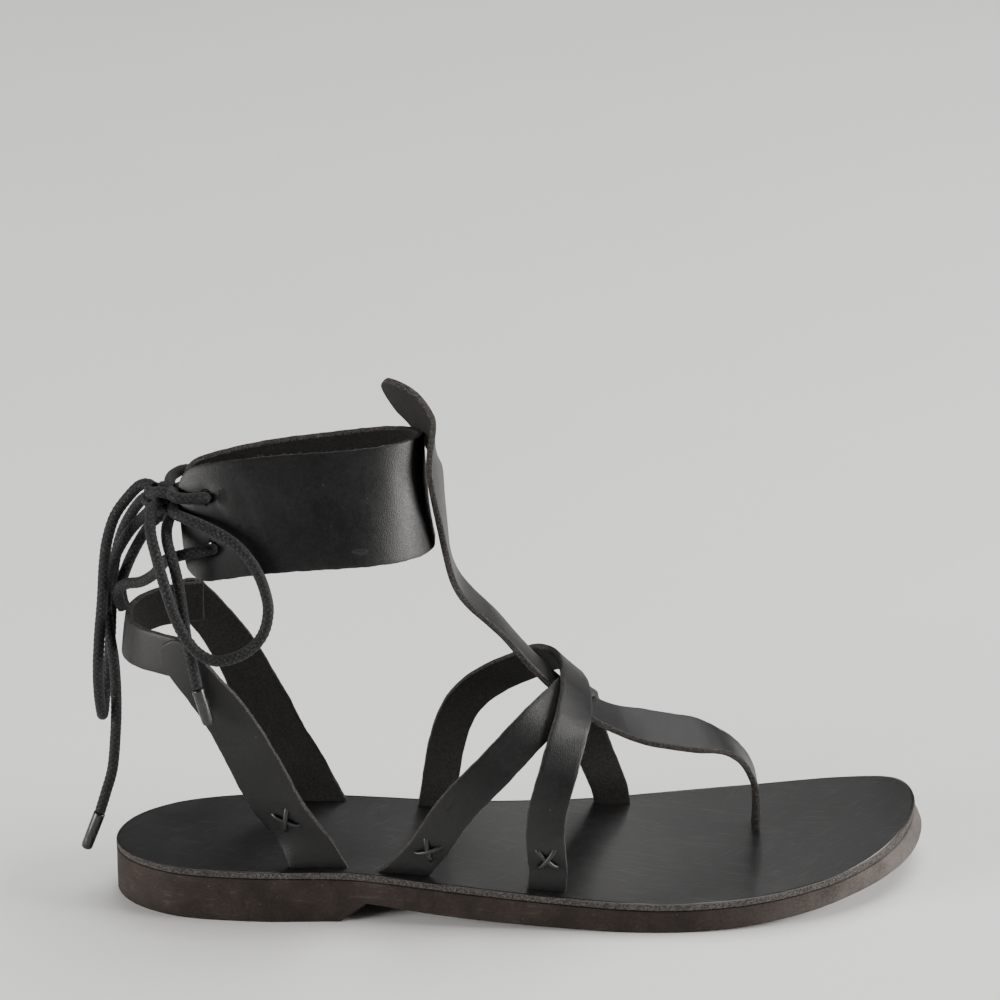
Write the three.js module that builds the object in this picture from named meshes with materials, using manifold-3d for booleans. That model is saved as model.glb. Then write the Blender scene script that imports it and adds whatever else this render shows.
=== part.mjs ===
// Wrap sandal, right shoe. Millimetres, +X from heel to toe, +Y to the inner (medial) side, +Z up.
// The origin is on the floor, under the rearmost point of the heel, on the shoe's centre line.
import * as THREE from "three";
import Module from "manifold-3d";
import { mergeVertices } from "three/addons/utils/BufferGeometryUtils.js";

const wasm = await Module();
wasm.setup();

// Main sizes of the shoe
const LENGTH = 280; // footbed, heel to toe
const BALL_WIDTH = 92; // sole, at the ball
const INSTEP_HEIGHT = 80; // floor to the ridge of the last where the straps cross
const CUFF_HEIGHT = 148; // floor to the middle of the ankle cuff, at its front
const HEEL_HEIGHT = 16; // outsole under the heel
const OUTSOLE_WALL = 8; // outsole at the waist and ball
const TOE_WALL = 6.8; // outsole at the toe tip
const TOE_SPRING = 10.4; // lift of the toe tip off the floor
const TOE_FLARE = 3; // the outsole's toe stands proud of the footbed at the floor
const ARCH_LIFT = 7; // lift of the outsole just ahead of the heel breast
const HEEL_SEAT = 77; // length of the flat under the heel
const BREAST_SLANT = 9; // from the foot of the heel breast to its top, along the sole
const FOOTBED_WALL = 2.3;
const SEAM = 0.3; // clearance between neighbouring pieces

// Straps, cuff and lace
const STRAP_WALL = 2.3;
const INSTEP_STRAP_WIDTH = 13;
const TOE_STRAP_WIDTH = 19;
const TOE_POST_WIDTH = 8;
const HEEL_STRAP_WIDTH = 17; // narrower at its top
const BACK_BAND_WIDTH = 14;
const CUFF_WIDTH = 38.5;
const CUFF_CORNER = 8; // corner radii of the cuff, the free tab and the heel straps' tops
const TAB_CORNER = 9;
const HEEL_STRAP_CORNER = 6.5;
const HOLE_DIAMETER = 4.6;
const HOLE_FROM_END = 10; // from the cuff's ends to the middle of its holes
const HOLE_SPREAD = 8.5; // holes above and below the middle of the cuff
const STRAP_INSET = 4; // outer face of a strap foot, in from the edge of the footbed
const LACE_DIAMETER = 3.8;
const AGLET_DIAMETER = 4.2;
const LAYER = STRAP_WALL + SEAM; // one strap lying over another

// Outline of the sole: shares of LENGTH along, shares of BALL_WIDTH to each side
const OUTLINE = [
  { along: 0, side: 0.0 },
  { along: 0.017, side: -0.14 },
  { along: 0.07, side: -0.266 },
  { along: 0.17, side: -0.332 },
  { along: 0.29, side: -0.351 },
  { along: 0.41, side: -0.411 },
  { along: 0.54, side: -0.453 },
  { along: 0.68, side: -0.49 },
  { along: 0.8, side: -0.453 },
  { along: 0.9, side: -0.322 },
  { along: 0.97, side: -0.084 },
  { along: 1, side: 0.211 },
  { along: 0.985, side: 0.395 },
  { along: 0.92, side: 0.485 },
  { along: 0.8, side: 0.517 },
  { along: 0.7, side: 0.504 },
  { along: 0.56, side: 0.422 },
  { along: 0.42, side: 0.348 },
  { along: 0.3, side: 0.343 },
  { along: 0.17, side: 0.364 },
  { along: 0.07, side: 0.3 },
  { along: 0.017, side: 0.169 },
];

// Sections of the last, from the toes over the instep to the top of the shaft. Each is an oval
// in a plane that leans back by `lean` degrees. along is a share of LENGTH; up, over and under
// are shares of INSTEP_HEIGHT, but above 1 `up` climbs the shaft, with the cuff at CUFF_UP;
// lateral and medial are half widths, shares of BALL_WIDTH.
const CUFF_UP = 1.85;
const LAST = [
  { along: 0.83, up: 0.34, lean: 0, over: 0.15, under: 0.17, lateral: 0.422, medial: 0.401, round: 2.3 },
  { along: 0.72, up: 0.36, lean: 0, over: 0.265, under: 0.2, lateral: 0.464, medial: 0.432, round: 2.2 },
  { along: 0.6, up: 0.38, lean: 8, over: 0.345, under: 0.22, lateral: 0.443, medial: 0.401, round: 2.1 },
  { along: 0.49, up: 0.43, lean: 22, over: 0.5, under: 0.3, lateral: 0.411, medial: 0.369, round: 2.1 },
  { along: 0.34, up: 0.68, lean: 40, over: 0.68, under: 0.58, lateral: 0.358, medial: 0.337, round: 2.2 },
  { along: 0.275, up: 1.1, lean: 60, over: 0.555, under: 0.925, lateral: 0.327, medial: 0.316, round: 2.3 },
  { along: 0.245, up: 1.61, lean: 80, over: 0.49, under: 0.72, lateral: 0.316, medial: 0.295, round: 2.4 },
  { along: 0.236, up: 2.09, lean: 86, over: 0.49, under: 0.47, lateral: 0.137, medial: 0.074, round: 2.4 },
];

// Strap routes. On the last: `at` counts sections from 0, `turn` is degrees from the ridge,
// lateral negative, and `layer` counts the straps underneath. `hug` is how closely a strap takes
// the last's shape across its width, 1 if not given, and `roll` tips its face to the lateral side,
// in degrees, where it doesn't. Feet stand on the footbed:
// `along` the sole on one side, `rise` above the footbed as a share of INSTEP_HEIGHT.
const INSTEP_OVER = [
  { foot: -1, along: 0.518, rise: -0.075 },
  { foot: -1, along: 0.526, rise: 0.062 },
  { at: 2.8, turn: -80, layer: 0 },
  { at: 2.85, turn: -55, layer: 1 },
  { at: 3.0, turn: -28, layer: 1.95 },
  { at: 3.1, turn: -8, layer: 2.15 },
  { at: 3.17, turn: 12, layer: 2.28 },
  { at: 3.22, turn: 22, layer: 2.2 },
  { at: 3.3, turn: 38, layer: 0.8 },
  { at: 3.5, turn: 70, layer: 0 },
  { foot: 1, along: 0.4, rise: 0.062 },
  { foot: 1, along: 0.395, rise: -0.075 },
];
const INSTEP_UNDER = [
  { foot: -1, along: 0.33, rise: -0.075 },
  { foot: -1, along: 0.368, rise: 0.062 },
  { at: 3.5, turn: -90, layer: 0 },
  { at: 3.384, turn: -59, layer: 0 },
  { at: 3.2, turn: -30, layer: 0.7 },
  { at: 3.05, turn: -14, layer: 1 },
  { at: 2.8, turn: 15, layer: 1.28 },
  { at: 2.4, turn: 45, layer: 0.3 },
  { at: 2.1, turn: 80, layer: 0 },
  { foot: 1, along: 0.62, rise: 0.062 },
  { foot: 1, along: 0.625, rise: -0.075 },
];

// The toe strap: post rows stand on the footbed (side is a share of BALL_WIDTH). Free rows lie
// `ahead` of the last's top, as a share of INSTEP_HEIGHT, with the way their face looks.
const TOE_STRAP = [
  { post: 1, along: 0.791, side: 0.142, rise: -0.075, width: TOE_POST_WIDTH },
  { post: 1, along: 0.793, side: 0.142, rise: 0.075, width: TOE_POST_WIDTH },
  { post: 1, along: 0.788, side: 0.137, rise: 0.238, width: 1.1 * TOE_POST_WIDTH },
  { at: 0.76, turn: 10, layer: 0, hug: 0, roll: 10, width: 0.74 * TOE_STRAP_WIDTH },
  { at: 1.1, turn: 6, layer: 0, hug: 0, roll: 14, width: TOE_STRAP_WIDTH },
  { at: 1.6, turn: 3, layer: 0, hug: 0, roll: 14 },
  { at: 2.2, turn: 2, layer: 0, hug: 0.4, roll: 10 },
  { at: 2.8, turn: 2, layer: 0 },
  { at: 3.4, turn: 2, layer: 0 },
  { at: 4.0, turn: 1, layer: 0, hug: 0.4 },
  { at: 4.6, turn: 0, layer: 0.1, hug: 0 },
  { at: 5.1, turn: 0, layer: 0.5, hug: 0 },
  { at: 5.5, turn: 0, layer: 1.1, hug: 0 },
  { at: 6.0, turn: 0, layer: 1.85, hug: 0 },
  { at: 6.45, turn: 0, layer: 1.9, hug: 0 },
  { free: 1, ahead: 0.51, side: 0.01, up: 2.08, face: [0.9, 0.35, 0.1] },
  { free: 1, ahead: 0.44, side: 0.032, up: 2.16, face: [0.7, 0.55, 0.4] },
  { free: 1, ahead: 0.34, side: 0.058, up: 2.25, face: [0.46, 0.48, 0.75] },
];

// Side straps of the heel, mirrored to the medial side by `side`, and the band behind the heel
const heelStrapRows = (side) => [
  { foot: side, along: 0.2615, rise: -0.075 },
  { foot: side, along: 0.2425, rise: 0.05 },
  { at: 4.35, turn: side * 147, layer: 0, hug: 0.5, width: 1.06 * HEEL_STRAP_WIDTH },
  { at: 4.62, turn: side * 145, layer: 0, width: 1.06 * HEEL_STRAP_WIDTH },
  { at: 4.88, turn: side * 145, layer: 0 },
  { at: 5.14, turn: side * 148, layer: 0.5, width: 0.94 * HEEL_STRAP_WIDTH },
  { at: 5.4, turn: side * 153.5, layer: 1.05, width: 0.85 * HEEL_STRAP_WIDTH },
  { at: 5.64, turn: side * 159, layer: 1, width: 0.8 * HEEL_STRAP_WIDTH },
];
const BACK_BAND = [
  { at: 5.52, turn: -150, layer: 0 },
  { at: 5.6, turn: -163, layer: 0 },
  { at: 5.63, turn: -180, layer: 0 },
  { at: 5.6, turn: -197, layer: 0 },
  { at: 5.52, turn: -210, layer: 0 },
];
const CUFF = [
  { at: 6.33, turn: -157, layer: 0, hug: 0.4 },
  { at: 6.37, turn: -140, layer: 0, hug: 0.4 },
  { at: 6.38, turn: -110, layer: 0, hug: 0.4 },
  { at: 6.36, turn: -70, layer: 0, hug: 0.4 },
  { at: 6.32, turn: -35, layer: 0, hug: 0.4 },
  { at: 6.26, turn: 0, layer: 0, hug: 0.4 },
  { at: 6.26, turn: 35, layer: 0, hug: 0.4 },
  { at: 6.27, turn: 70, layer: 0, hug: 0.4 },
  { at: 6.27, turn: 110, layer: 0, hug: 0.4 },
  { at: 6.25, turn: 138, layer: 0, hug: 0.4 },
  { at: 6.22, turn: 157, layer: 0, hug: 0.4 },
];

const point = (along, side, height) => new THREE.Vector3(along, side, height);
const clampUnit = (value) => Math.min(1, Math.max(0, value));

// Value of one column of a table at a real-valued row, as a smooth curve through the rows
function column(table, name, row) {
  const last = table.length - 1;
  const index = Math.min(last - 1, Math.max(0, Math.floor(row)));
  const pick = (k) => table[Math.min(last, Math.max(0, k))][name];
  const t = row - index;
  const [p0, p1, p2, p3] = [pick(index - 1), pick(index), pick(index + 1), pick(index + 2)];
  const slopeIn = (p2 - p0) / 2;
  const slopeOut = (p3 - p1) / 2;
  const bend = t * t * (3 - 2 * t);
  return p1 + (p2 - p1) * bend + slopeIn * t * (1 - t) ** 2 - slopeOut * t * t * (1 - t);
}

// Height of an `up` share: part of the instep up to 1, and up the shaft above it
const SHAFT_UNIT = (CUFF_HEIGHT - INSTEP_HEIGHT) / (CUFF_UP - 1);
const heightOf = (up) => Math.min(up, 1) * INSTEP_HEIGHT + Math.max(up - 1, 0) * SHAFT_UNIT;

// The last: centre, directions and radius of the section at a real-valued place
function section(at) {
  const lean = THREE.MathUtils.degToRad(column(LAST, "lean", at));
  return {
    centre: point(column(LAST, "along", at) * LENGTH, 0, heightOf(column(LAST, "up", at))),
    over: point(Math.sin(lean), 0, Math.cos(lean)),
    spine: point(-Math.cos(lean), 0, Math.sin(lean)),
    reach: (turn) => {
      const ahead = Math.cos(turn) > 0 ? "over" : "under";
      const beside = Math.sin(turn) < 0 ? "lateral" : "medial";
      const a = column(LAST, ahead, at) * INSTEP_HEIGHT;
      const b = column(LAST, beside, at) * BALL_WIDTH;
      const power = column(LAST, "round", at);
      const sum = Math.abs(Math.cos(turn) / a) ** power + Math.abs(Math.sin(turn) / b) ** power;
      return sum ** (-1 / power);
    },
  };
}

function lastPoint(at, turn) {
  const { centre, over, reach } = section(at);
  const radius = reach(turn);
  return centre.clone()
    .addScaledVector(over, radius * Math.cos(turn))
    .add(point(0, radius * Math.sin(turn), 0));
}

const STEP_AT = 0.02;
const STEP_TURN = 0.02;
function lastNormal(at, turn) {
  const alongSpine = lastPoint(at + STEP_AT, turn).sub(lastPoint(at - STEP_AT, turn));
  const around = lastPoint(at, turn + STEP_TURN).sub(lastPoint(at, turn - STEP_TURN));
  return alongSpine.cross(around).normalize().negate();
}

// Place on the last (at, turn) of the section plane that holds a point of space
function locate(target) {
  let low = -0.5;
  let high = LAST.length - 0.5;
  for (let k = 0; k < 30; k += 1) {
    const middle = (low + high) / 2;
    const { centre, spine } = section(middle);
    if (target.clone().sub(centre).dot(spine) > 0) low = middle;
    else high = middle;
  }
  const at = (low + high) / 2;
  const { centre, over } = section(at);
  const offset = target.clone().sub(centre);
  return { at, turn: Math.atan2(offset.y, offset.dot(over)) };
}

// Outline of the sole as a smooth closed curve, and its edge on one side at a place along it
const outlineCurve = new THREE.CatmullRomCurve3(
  OUTLINE.map(({ along, side }) => point(along * LENGTH, side * BALL_WIDTH, 0)), true, "centripetal");
const OUTLINE_STEPS = 96;
const outline = outlineCurve.getSpacedPoints(OUTLINE_STEPS).slice(0, OUTLINE_STEPS);

function edgeOfSole(x, side) {
  const crossings = outline.map((a, k) => [a, outline[(k + 1) % OUTLINE_STEPS]])
    .filter(([a, b]) => (a.x - x) * (b.x - x) <= 0 && a.x !== b.x)
    .map(([a, b]) => THREE.MathUtils.lerp(a.y, b.y, (x - a.x) / (b.x - a.x)));
  return side < 0 ? Math.min(...crossings) : Math.max(...crossings);
}

// Side profile of the sole: heel, slanted breast, arch, flat ball and toe spring
const smooth = (x, from, to) => THREE.MathUtils.smoothstep(x, from, to);
const SPRING_FROM = 0.68 * LENGTH;
const springAt = (x) => TOE_SPRING * (Math.max(0, x - SPRING_FROM) / (LENGTH - SPRING_FROM)) ** 1.7;
const SHANK_END = 0.62 * LENGTH;
const SLOPE_FROM = HEEL_SEAT - 0.05 * LENGTH;
const SLOPE_TO = 0.67 * LENGTH;
const FLARE_FROM = 0.88 * LENGTH;

function soleBottom(x) {
  const archFrom = HEEL_SEAT + BREAST_SLANT;
  if (x <= HEEL_SEAT) return 0;
  if (x < archFrom) return ARCH_LIFT * (x - HEEL_SEAT) / BREAST_SLANT;
  const fade = clampUnit((SHANK_END - x) / (SHANK_END - archFrom));
  return ARCH_LIFT * fade ** 1.5 + springAt(x);
}

function soleTop(x) {
  const wall = OUTSOLE_WALL + (TOE_WALL - OUTSOLE_WALL) * smooth(x, SPRING_FROM, LENGTH);
  const drop = smooth(x, SLOPE_FROM, SLOPE_TO);
  return THREE.MathUtils.lerp(HEEL_HEIGHT, wall, drop) + springAt(x);
}

const footbedTop = (x) => soleTop(x) + SEAM + FOOTBED_WALL;

// Solids: a closed geometry as a manifold, and back
function solid(geometry) {
  geometry.deleteAttribute("normal");
  geometry.deleteAttribute("uv");
  const merged = mergeVertices(geometry, 1e-4);
  return new wasm.Manifold(new wasm.Mesh({
    numProp: 3,
    vertProperties: new Float32Array(merged.attributes.position.array),
    triVerts: new Uint32Array(merged.index.array),
  }));
}

function geometryOf(body) {
  const { vertProperties, triVerts } = body.getMesh();
  const geometry = new THREE.BufferGeometry();
  geometry.setAttribute("position", new THREE.BufferAttribute(vertProperties, 3));
  geometry.setIndex(new THREE.BufferAttribute(triVerts, 1));
  return geometry;
}

// A slab between two height functions, cut to the outline of the sole
const PROFILE_STEPS = 44;
const MARGIN = 2;
function slab(bottom, top, flare = 0) {
  const profile = new THREE.Shape();
  const places = Array.from({ length: PROFILE_STEPS + 1 }, (_, k) => k * LENGTH / PROFILE_STEPS);
  const breast = [HEEL_SEAT, HEEL_SEAT + BREAST_SLANT];
  const along = [-MARGIN, ...places, ...breast, LENGTH + MARGIN + TOE_FLARE].sort((a, b) => a - b);
  along.forEach((x, k) => (k ? profile.lineTo(x, bottom(x)) : profile.moveTo(x, bottom(x))));
  along.reverse().forEach((x) => profile.lineTo(x, top(x)));
  const side = new THREE.ExtrudeGeometry(profile, { depth: 2 * BALL_WIDTH, bevelEnabled: false, steps: 1 });
  side.rotateX(Math.PI / 2);
  side.translate(0, BALL_WIDTH, 0);
  const plan = new THREE.Shape(outline.map(({ x, y }) => new THREE.Vector2(x, y)));
  const prism = new THREE.ExtrudeGeometry(plan, { depth: 2 * INSTEP_HEIGHT, bevelEnabled: false, steps: 1 });
  prism.translate(0, 0, -INSTEP_HEIGHT);
  const vertex = prism.attributes.position;
  for (let k = 0; k < vertex.count; k += 1) {
    const depth = (soleTop(LENGTH) - vertex.getZ(k)) / TOE_WALL;
    const push = flare * smooth(vertex.getX(k), FLARE_FROM, LENGTH) * depth;
    vertex.setX(k, vertex.getX(k) + push);
  }
  return solid(side).intersect(solid(prism));
}

// Places on a route: feet on the sole, places on the last, and free places
const standing = (x, y, { rise }) => point(x, y, footbedTop(x) + rise * INSTEP_HEIGHT);
function anchor(row) {
  if ("foot" in row) {
    const x = row.along * LENGTH;
    const y = edgeOfSole(x, row.foot) - row.foot * (STRAP_INSET + STRAP_WALL);
    return { place: standing(x, y, row), face: point(0, row.foot, 0), hug: 0, layer: 0 };
  }
  if ("post" in row) {
    const x = row.along * LENGTH;
    const place = standing(x, row.side * BALL_WIDTH, row);
    return { place, face: point(1, 0, 0), hug: 0, layer: 0 };
  }
  if ("free" in row) {
    const top = section(LAST.length - 1).centre;
    const place = point(top.x + row.ahead * INSTEP_HEIGHT, row.side * BALL_WIDTH, heightOf(row.up));
    return { place, face: point(...row.face).normalize(), hug: 0, layer: 0 };
  }
  const turn = THREE.MathUtils.degToRad(row.turn);
  const face = lastNormal(row.at, turn);
  const place = lastPoint(row.at, turn).addScaledVector(face, SEAM + row.layer * LAYER);
  face.applyAxisAngle(point(1, 0, 0), THREE.MathUtils.degToRad(row.roll ?? 0));
  return { place, face, hug: row.hug ?? 1, layer: row.layer };
}

// A smooth line through places: each is fitted with a parabola to its neighbours within about
// `reach`, which takes out small sideways swings and keeps the long bends
function settle(places, reach) {
  const along = [0];
  places.slice(1).forEach((place, k) => along.push(along[k] + place.distanceTo(places[k])));
  return places.map((_, i) => {
    const m = [0, 0, 0, 0, 0];
    const sums = [point(0, 0, 0), point(0, 0, 0), point(0, 0, 0)];
    places.forEach((place, j) => {
      const gap = (along[j] - along[i]) / reach;
      const weight = Math.exp(-0.5 * gap ** 2);
      m.forEach((_, k) => { m[k] += weight * gap ** k; });
      sums.forEach((sum, k) => sum.addScaledVector(place, weight * gap ** k));
    });
    const minors = [m[2] * m[4] - m[3] ** 2, m[2] * m[3] - m[1] * m[4], m[1] * m[3] - m[2] ** 2];
    const total = m[0] * minors[0] + m[1] * minors[1] + m[2] * minors[2];
    return sums.reduce((line, sum, k) => line.addScaledVector(sum, minors[k] / total), point(0, 0, 0));
  });
}

// A strap: a flat ribbon along a route, hugging the last where its rows say so.
// `ends` are the corner radii at its start and finish, 0 for a square end.
const COLUMNS = 4;
const CORNER_STEPS = [0.02, 0.15, 0.4, 0.7, 1];
const CLOSEST = 0.2; // between two stations
const NARROWEST = 0.6; // half width at the tip of a rounded end
const GUIDE_STEP = 3; // along the middle line as it is settled on the last
const SETTLE_REACH = 7;

// Vertex of a strap at a station: `offset` across it, `rise` off its inner face
function lay({ place, across, out, hug, layer }, offset, rise) {
  const flat = place.clone().addScaledVector(across, offset);
  const { at, turn } = locate(flat);
  const skin = lastNormal(at, turn);
  const snug = lastPoint(at, turn).addScaledVector(skin, SEAM + layer * LAYER);
  const face = out.clone().lerp(skin, hug).normalize();
  return flat.lerp(snug, hug).addScaledVector(face, rise);
}

// Station of a strap at a place of its middle line and a real-valued row of its table
function stationAt(place, forward, row, anchors) {
  const index = Math.min(anchors.length - 2, Math.floor(row));
  const t = row - index;
  const [from, to] = [anchors[index], anchors[index + 1]];
  const mix = (name) => from[name] + (to[name] - from[name]) * (t * t * (3 - 2 * t));
  const hug = mix("hug");
  const { at, turn } = locate(place);
  const face = from.face.clone().lerp(to.face, t).normalize().lerp(lastNormal(at, turn), hug);
  const across = forward.clone().cross(face).normalize();
  const out = across.clone().cross(forward).normalize();
  return { place, across, out, hug, layer: mix("layer"), half: mix("width") / 2 };
}

// Middle line of a strap, settled on the last, with the row number of each of its points
function guide(anchors) {
  const rough = new THREE.CatmullRomCurve3(anchors.map(({ place }) => place), false, "centripetal");
  const count = Math.max(6, Math.round(rough.getLength() / GUIDE_STEP));
  const shares = Array.from({ length: count + 1 }, (_, k) => k / count);
  const numbers = shares.map((share) => rough.getUtoTmapping(share) * (anchors.length - 1));
  const places = shares.map((share, k) => {
    const station = stationAt(rough.getPointAt(share), rough.getTangentAt(share), numbers[k], anchors);
    return lay(station, 0, 0);
  });
  const curve = new THREE.CatmullRomCurve3(settle(places, SETTLE_REACH), false, "centripetal");
  const rowAt = (share) => {
    const knot = curve.getUtoTmapping(share) * count;
    const index = Math.min(count - 1, Math.floor(knot));
    return THREE.MathUtils.lerp(numbers[index], numbers[index + 1], knot - index);
  };
  return { curve, rowAt };
}

function strap({ rows, width, wall = STRAP_WALL, steps = 30, ends = [0, 0], columns = COLUMNS, spare = 0 }) {
  const anchors = rows.map((row) => ({ ...anchor(row), width: row.width ?? width }));
  const { curve, rowAt } = guide(anchors);
  const length = curve.getLength();
  const distances = Array.from({ length: steps + 1 }, (_, k) => k * length / steps)
    .filter((d) => d >= ends[0] && d <= length - ends[1]);
  if (ends[0]) {
    const start = CORNER_STEPS.map((s) => s * ends[0]);
    distances.unshift(...start.filter((d) => d < distances[0] - CLOSEST));
  }
  if (ends[1]) {
    const tip = CORNER_STEPS.map((s) => length - s * ends[1]).reverse();
    distances.push(...tip.filter((d) => d > distances[distances.length - 1] + CLOSEST));
  }
  const cornerCut = (fromEnd, radius) => {
    if (!radius || fromEnd >= radius) return 0;
    return radius - Math.sqrt(Math.max(0, radius ** 2 - (radius - fromEnd) ** 2));
  };
  const stations = distances.map((distance) => {
    const share = distance / length;
    const station = stationAt(curve.getPointAt(share), curve.getTangentAt(share), rowAt(share), anchors);
    const cut = cornerCut(distance, ends[0]) + cornerCut(length - distance, ends[1]);
    return { ...station, distance, half: Math.max(NARROWEST, station.half - cut) + spare };
  });
  const ring = 2 * (columns + 1);
  const positions = [];
  stations.forEach((station) => {
    for (let k = 0; k < ring; k += 1) {
      const outer = k <= columns;
      const share = outer ? k / columns : (ring - 1 - k) / columns;
      const vertex = lay(station, (2 * share - 1) * station.half, outer ? wall + spare : -spare);
      positions.push(vertex.x, vertex.y, vertex.z);
    }
  });
  const triangles = [];
  const quad = (a, b, c, d) => triangles.push(a, b, c, a, c, d);
  for (let s = 0; s < stations.length - 1; s += 1) {
    for (let k = 0; k < ring; k += 1) {
      const next = (k + 1) % ring;
      quad(s * ring + k, s * ring + next, (s + 1) * ring + next, (s + 1) * ring + k);
    }
  }
  const end = (stations.length - 1) * ring;
  for (let k = 0; k < columns; k += 1) {
    const [a, b, c, d] = [k, k + 1, ring - 2 - k, ring - 1 - k];
    quad(d, c, b, a);
    quad(end + a, end + b, end + c, end + d);
  }
  const geometry = new THREE.BufferGeometry();
  geometry.setAttribute("position", new THREE.Float32BufferAttribute(positions, 3));
  geometry.setIndex(triangles);
  const body = solid(geometry);
  const spot = (distance, offset) => {
    const k = Math.max(1, stations.findIndex((station) => station.distance >= distance));
    const [a, b] = [stations[k - 1], stations[k]];
    const t = (distance - a.distance) / (b.distance - a.distance);
    const mid = lay(a, offset, wall / 2).lerp(lay(b, offset, wall / 2), t);
    return { place: mid, face: a.out.clone().lerp(b.out, t).normalize() };
  };
  return { body, length, spot };
}

// The lace: its bars at the back of the cuff, then a knot with two loops and two ends
const LACE_SIDES = 8;
const KNOT = point(23.2, -8, 147.6);
const KNOT_RADII = [4.8, 5.2, 4.8];
const STEM_LATERAL = [
  [5.7, -2.4, 104], [4.6, -3, 107], [4.4, -4.4, 111.7], [7.3, -7, 114.8], [12.2, -11, 117],
  [16.9, -16, 121.4], [20, -21, 126.6], [22.6, -26.5, 131], [27.6, -29, 133.2], [34.6, -30.4, 134.2],
];
const STEM_MEDIAL = [
  [5.9, 0.4, 104], [5.1, 1.4, 107], [4.8, 4, 110.4], [6.8, 7, 115.9], [10.1, 12, 121.5],
  [14.4, 18, 126.5], [19.7, 24.4, 128.6], [26, 28.4, 130], [33.6, 30, 130.6],
];
const TOP_LATERAL = [
  [23.7, -14, 149.8], [25, -19.6, 150], [29.6, -20.6, 149.6], [35, -23.6, 149.2],
];
const TOP_MEDIAL = [
  [22.8, -2, 147.4], [22.2, 6, 146.6], [23.2, 14, 146], [27, 19.8, 145.6], [33.6, 22.8, 145],
];
const LOOP_LATERAL = [
  [24, -13.8, 145], [24.7, -20.3, 144.6], [28.6, -25, 144.4], [33, -27, 143.2], [38.3, -28.6, 141],
  [42.2, -30, 139], [45.8, -31.4, 136.4], [49, -32.8, 133], [51.8, -34, 128.8], [54, -35, 123.2],
  [55.2, -35.8, 116], [53.3, -36.6, 107.9], [49, -37.4, 102.9], [43, -38, 100], [37.1, -38.4, 99.5],
  [32, -38.4, 102.4], [28, -38.8, 107.9], [24.8, -38.8, 115.4], [22, -37.8, 125], [19.4, -33.8, 133.6],
  [17.2, -27, 141], [17.6, -19, 145.4], [19.6, -14.2, 146.6],
];
const END_LATERAL = [
  [23.2, -10.8, 141.2], [22.6, -16, 140.4], [22.2, -22.6, 139.4], [22.8, -29, 137], [24.6, -33.2, 132],
  [26.2, -34.4, 124], [27.3, -34.6, 113.7], [28.4, -34.8, 103.9], [30, -34.8, 95.2], [31.2, -34.8, 88.4],
];
const LOOP_MEDIAL = [
  [17.8, -8.8, 149.6], [15.6, -7, 150.2], [13, -5.8, 149.3], [8.9, -5, 145], [4.4, -5, 138.7],
  [1.4, -5, 129.9], [0.1, -5, 122], [-1.1, -5, 108.4], [-2.7, -5, 94], [-3.5, -5, 82.3],
  [-3.5, -4.4, 74], [-3.2, -1, 66], [-3.1, 2.6, 63.4], [-2.9, 6.2, 64], [-2.4, 9.6, 69],
  [-1.2, 10.2, 77], [-0.1, 10.2, 87.7], [1, 10.2, 102.4], [2.6, 10, 116.9], [6.2, 8.2, 129.4],
  [12.4, 3.4, 140.4], [17.8, -3, 145.8],
];
const END_MEDIAL = [
  [18.6, -8, 143.8], [14.5, -4, 138.5], [8.7, 0, 131.1], [3.6, 2, 122], [0.6, 2.4, 113.4],
  [-0.4, 2.4, 105.6], [0, 2.4, 96], [1.4, 2.4, 84], [1.7, 2.4, 68.7], [0.9, 2.4, 55.4],
  [-0.6, 2, 42.9], [-3, 1.4, 34.9], [-5.3, 1, 27.6],
];
const AGLET_LATERAL_TIP = [34.6, -34.8, 75.4];
const AGLET_MEDIAL_TIP = [-10.6, 0.6, 14.2];

const circle = (radius, sides) => new THREE.Shape(Array.from({ length: sides }, (_, k) => {
  const angle = 2 * Math.PI * k / sides;
  return new THREE.Vector2(radius * Math.cos(angle), radius * Math.sin(angle));
}));

function cord(points, steps, radius = LACE_DIAMETER / 2) {
  const extrudePath = new THREE.CatmullRomCurve3(points.map((p) => point(...p)), false, "centripetal");
  return new THREE.ExtrudeGeometry(circle(radius, LACE_SIDES), { steps, extrudePath, bevelEnabled: false });
}

// A straight aglet from the end of a cord to its tip
function aglet(route, tip) {
  const end = point(...route[route.length - 1]);
  const start = end.clone().lerp(point(...tip), SEAM / end.distanceTo(point(...tip)));
  return cord([start.toArray(), tip], 1, AGLET_DIAMETER / 2);
}

// Pieces
const outsole = slab(soleBottom, soleTop, TOE_FLARE);
const underFeet = slab(() => -HEEL_HEIGHT, (x) => soleTop(x) + SEAM);
const HEEL_STRAP_ENDS = [0, HEEL_STRAP_CORNER];
const routes = {
  toe_strap: { rows: TOE_STRAP, width: TOE_STRAP_WIDTH, steps: 60, ends: [0, TAB_CORNER] },
  instep_strap_under: { rows: INSTEP_UNDER, width: INSTEP_STRAP_WIDTH, steps: 44 },
  instep_strap_over: { rows: INSTEP_OVER, width: INSTEP_STRAP_WIDTH, steps: 44 },
  heel_strap_lateral: { rows: heelStrapRows(-1), width: HEEL_STRAP_WIDTH, steps: 24, ends: HEEL_STRAP_ENDS },
  heel_strap_medial: { rows: heelStrapRows(1), width: HEEL_STRAP_WIDTH, steps: 24, ends: HEEL_STRAP_ENDS },
  heel_back_band: { rows: BACK_BAND, width: BACK_BAND_WIDTH, steps: 16 },
};
let footbed = slab((x) => soleTop(x) + SEAM, footbedTop);
const straps = {};
for (const [name, route] of Object.entries(routes)) {
  straps[name] = strap(route).body.subtract(underFeet);
  if (name !== "heel_back_band") footbed = footbed.subtract(strap({ ...route, spare: SEAM }).body);
}

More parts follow.
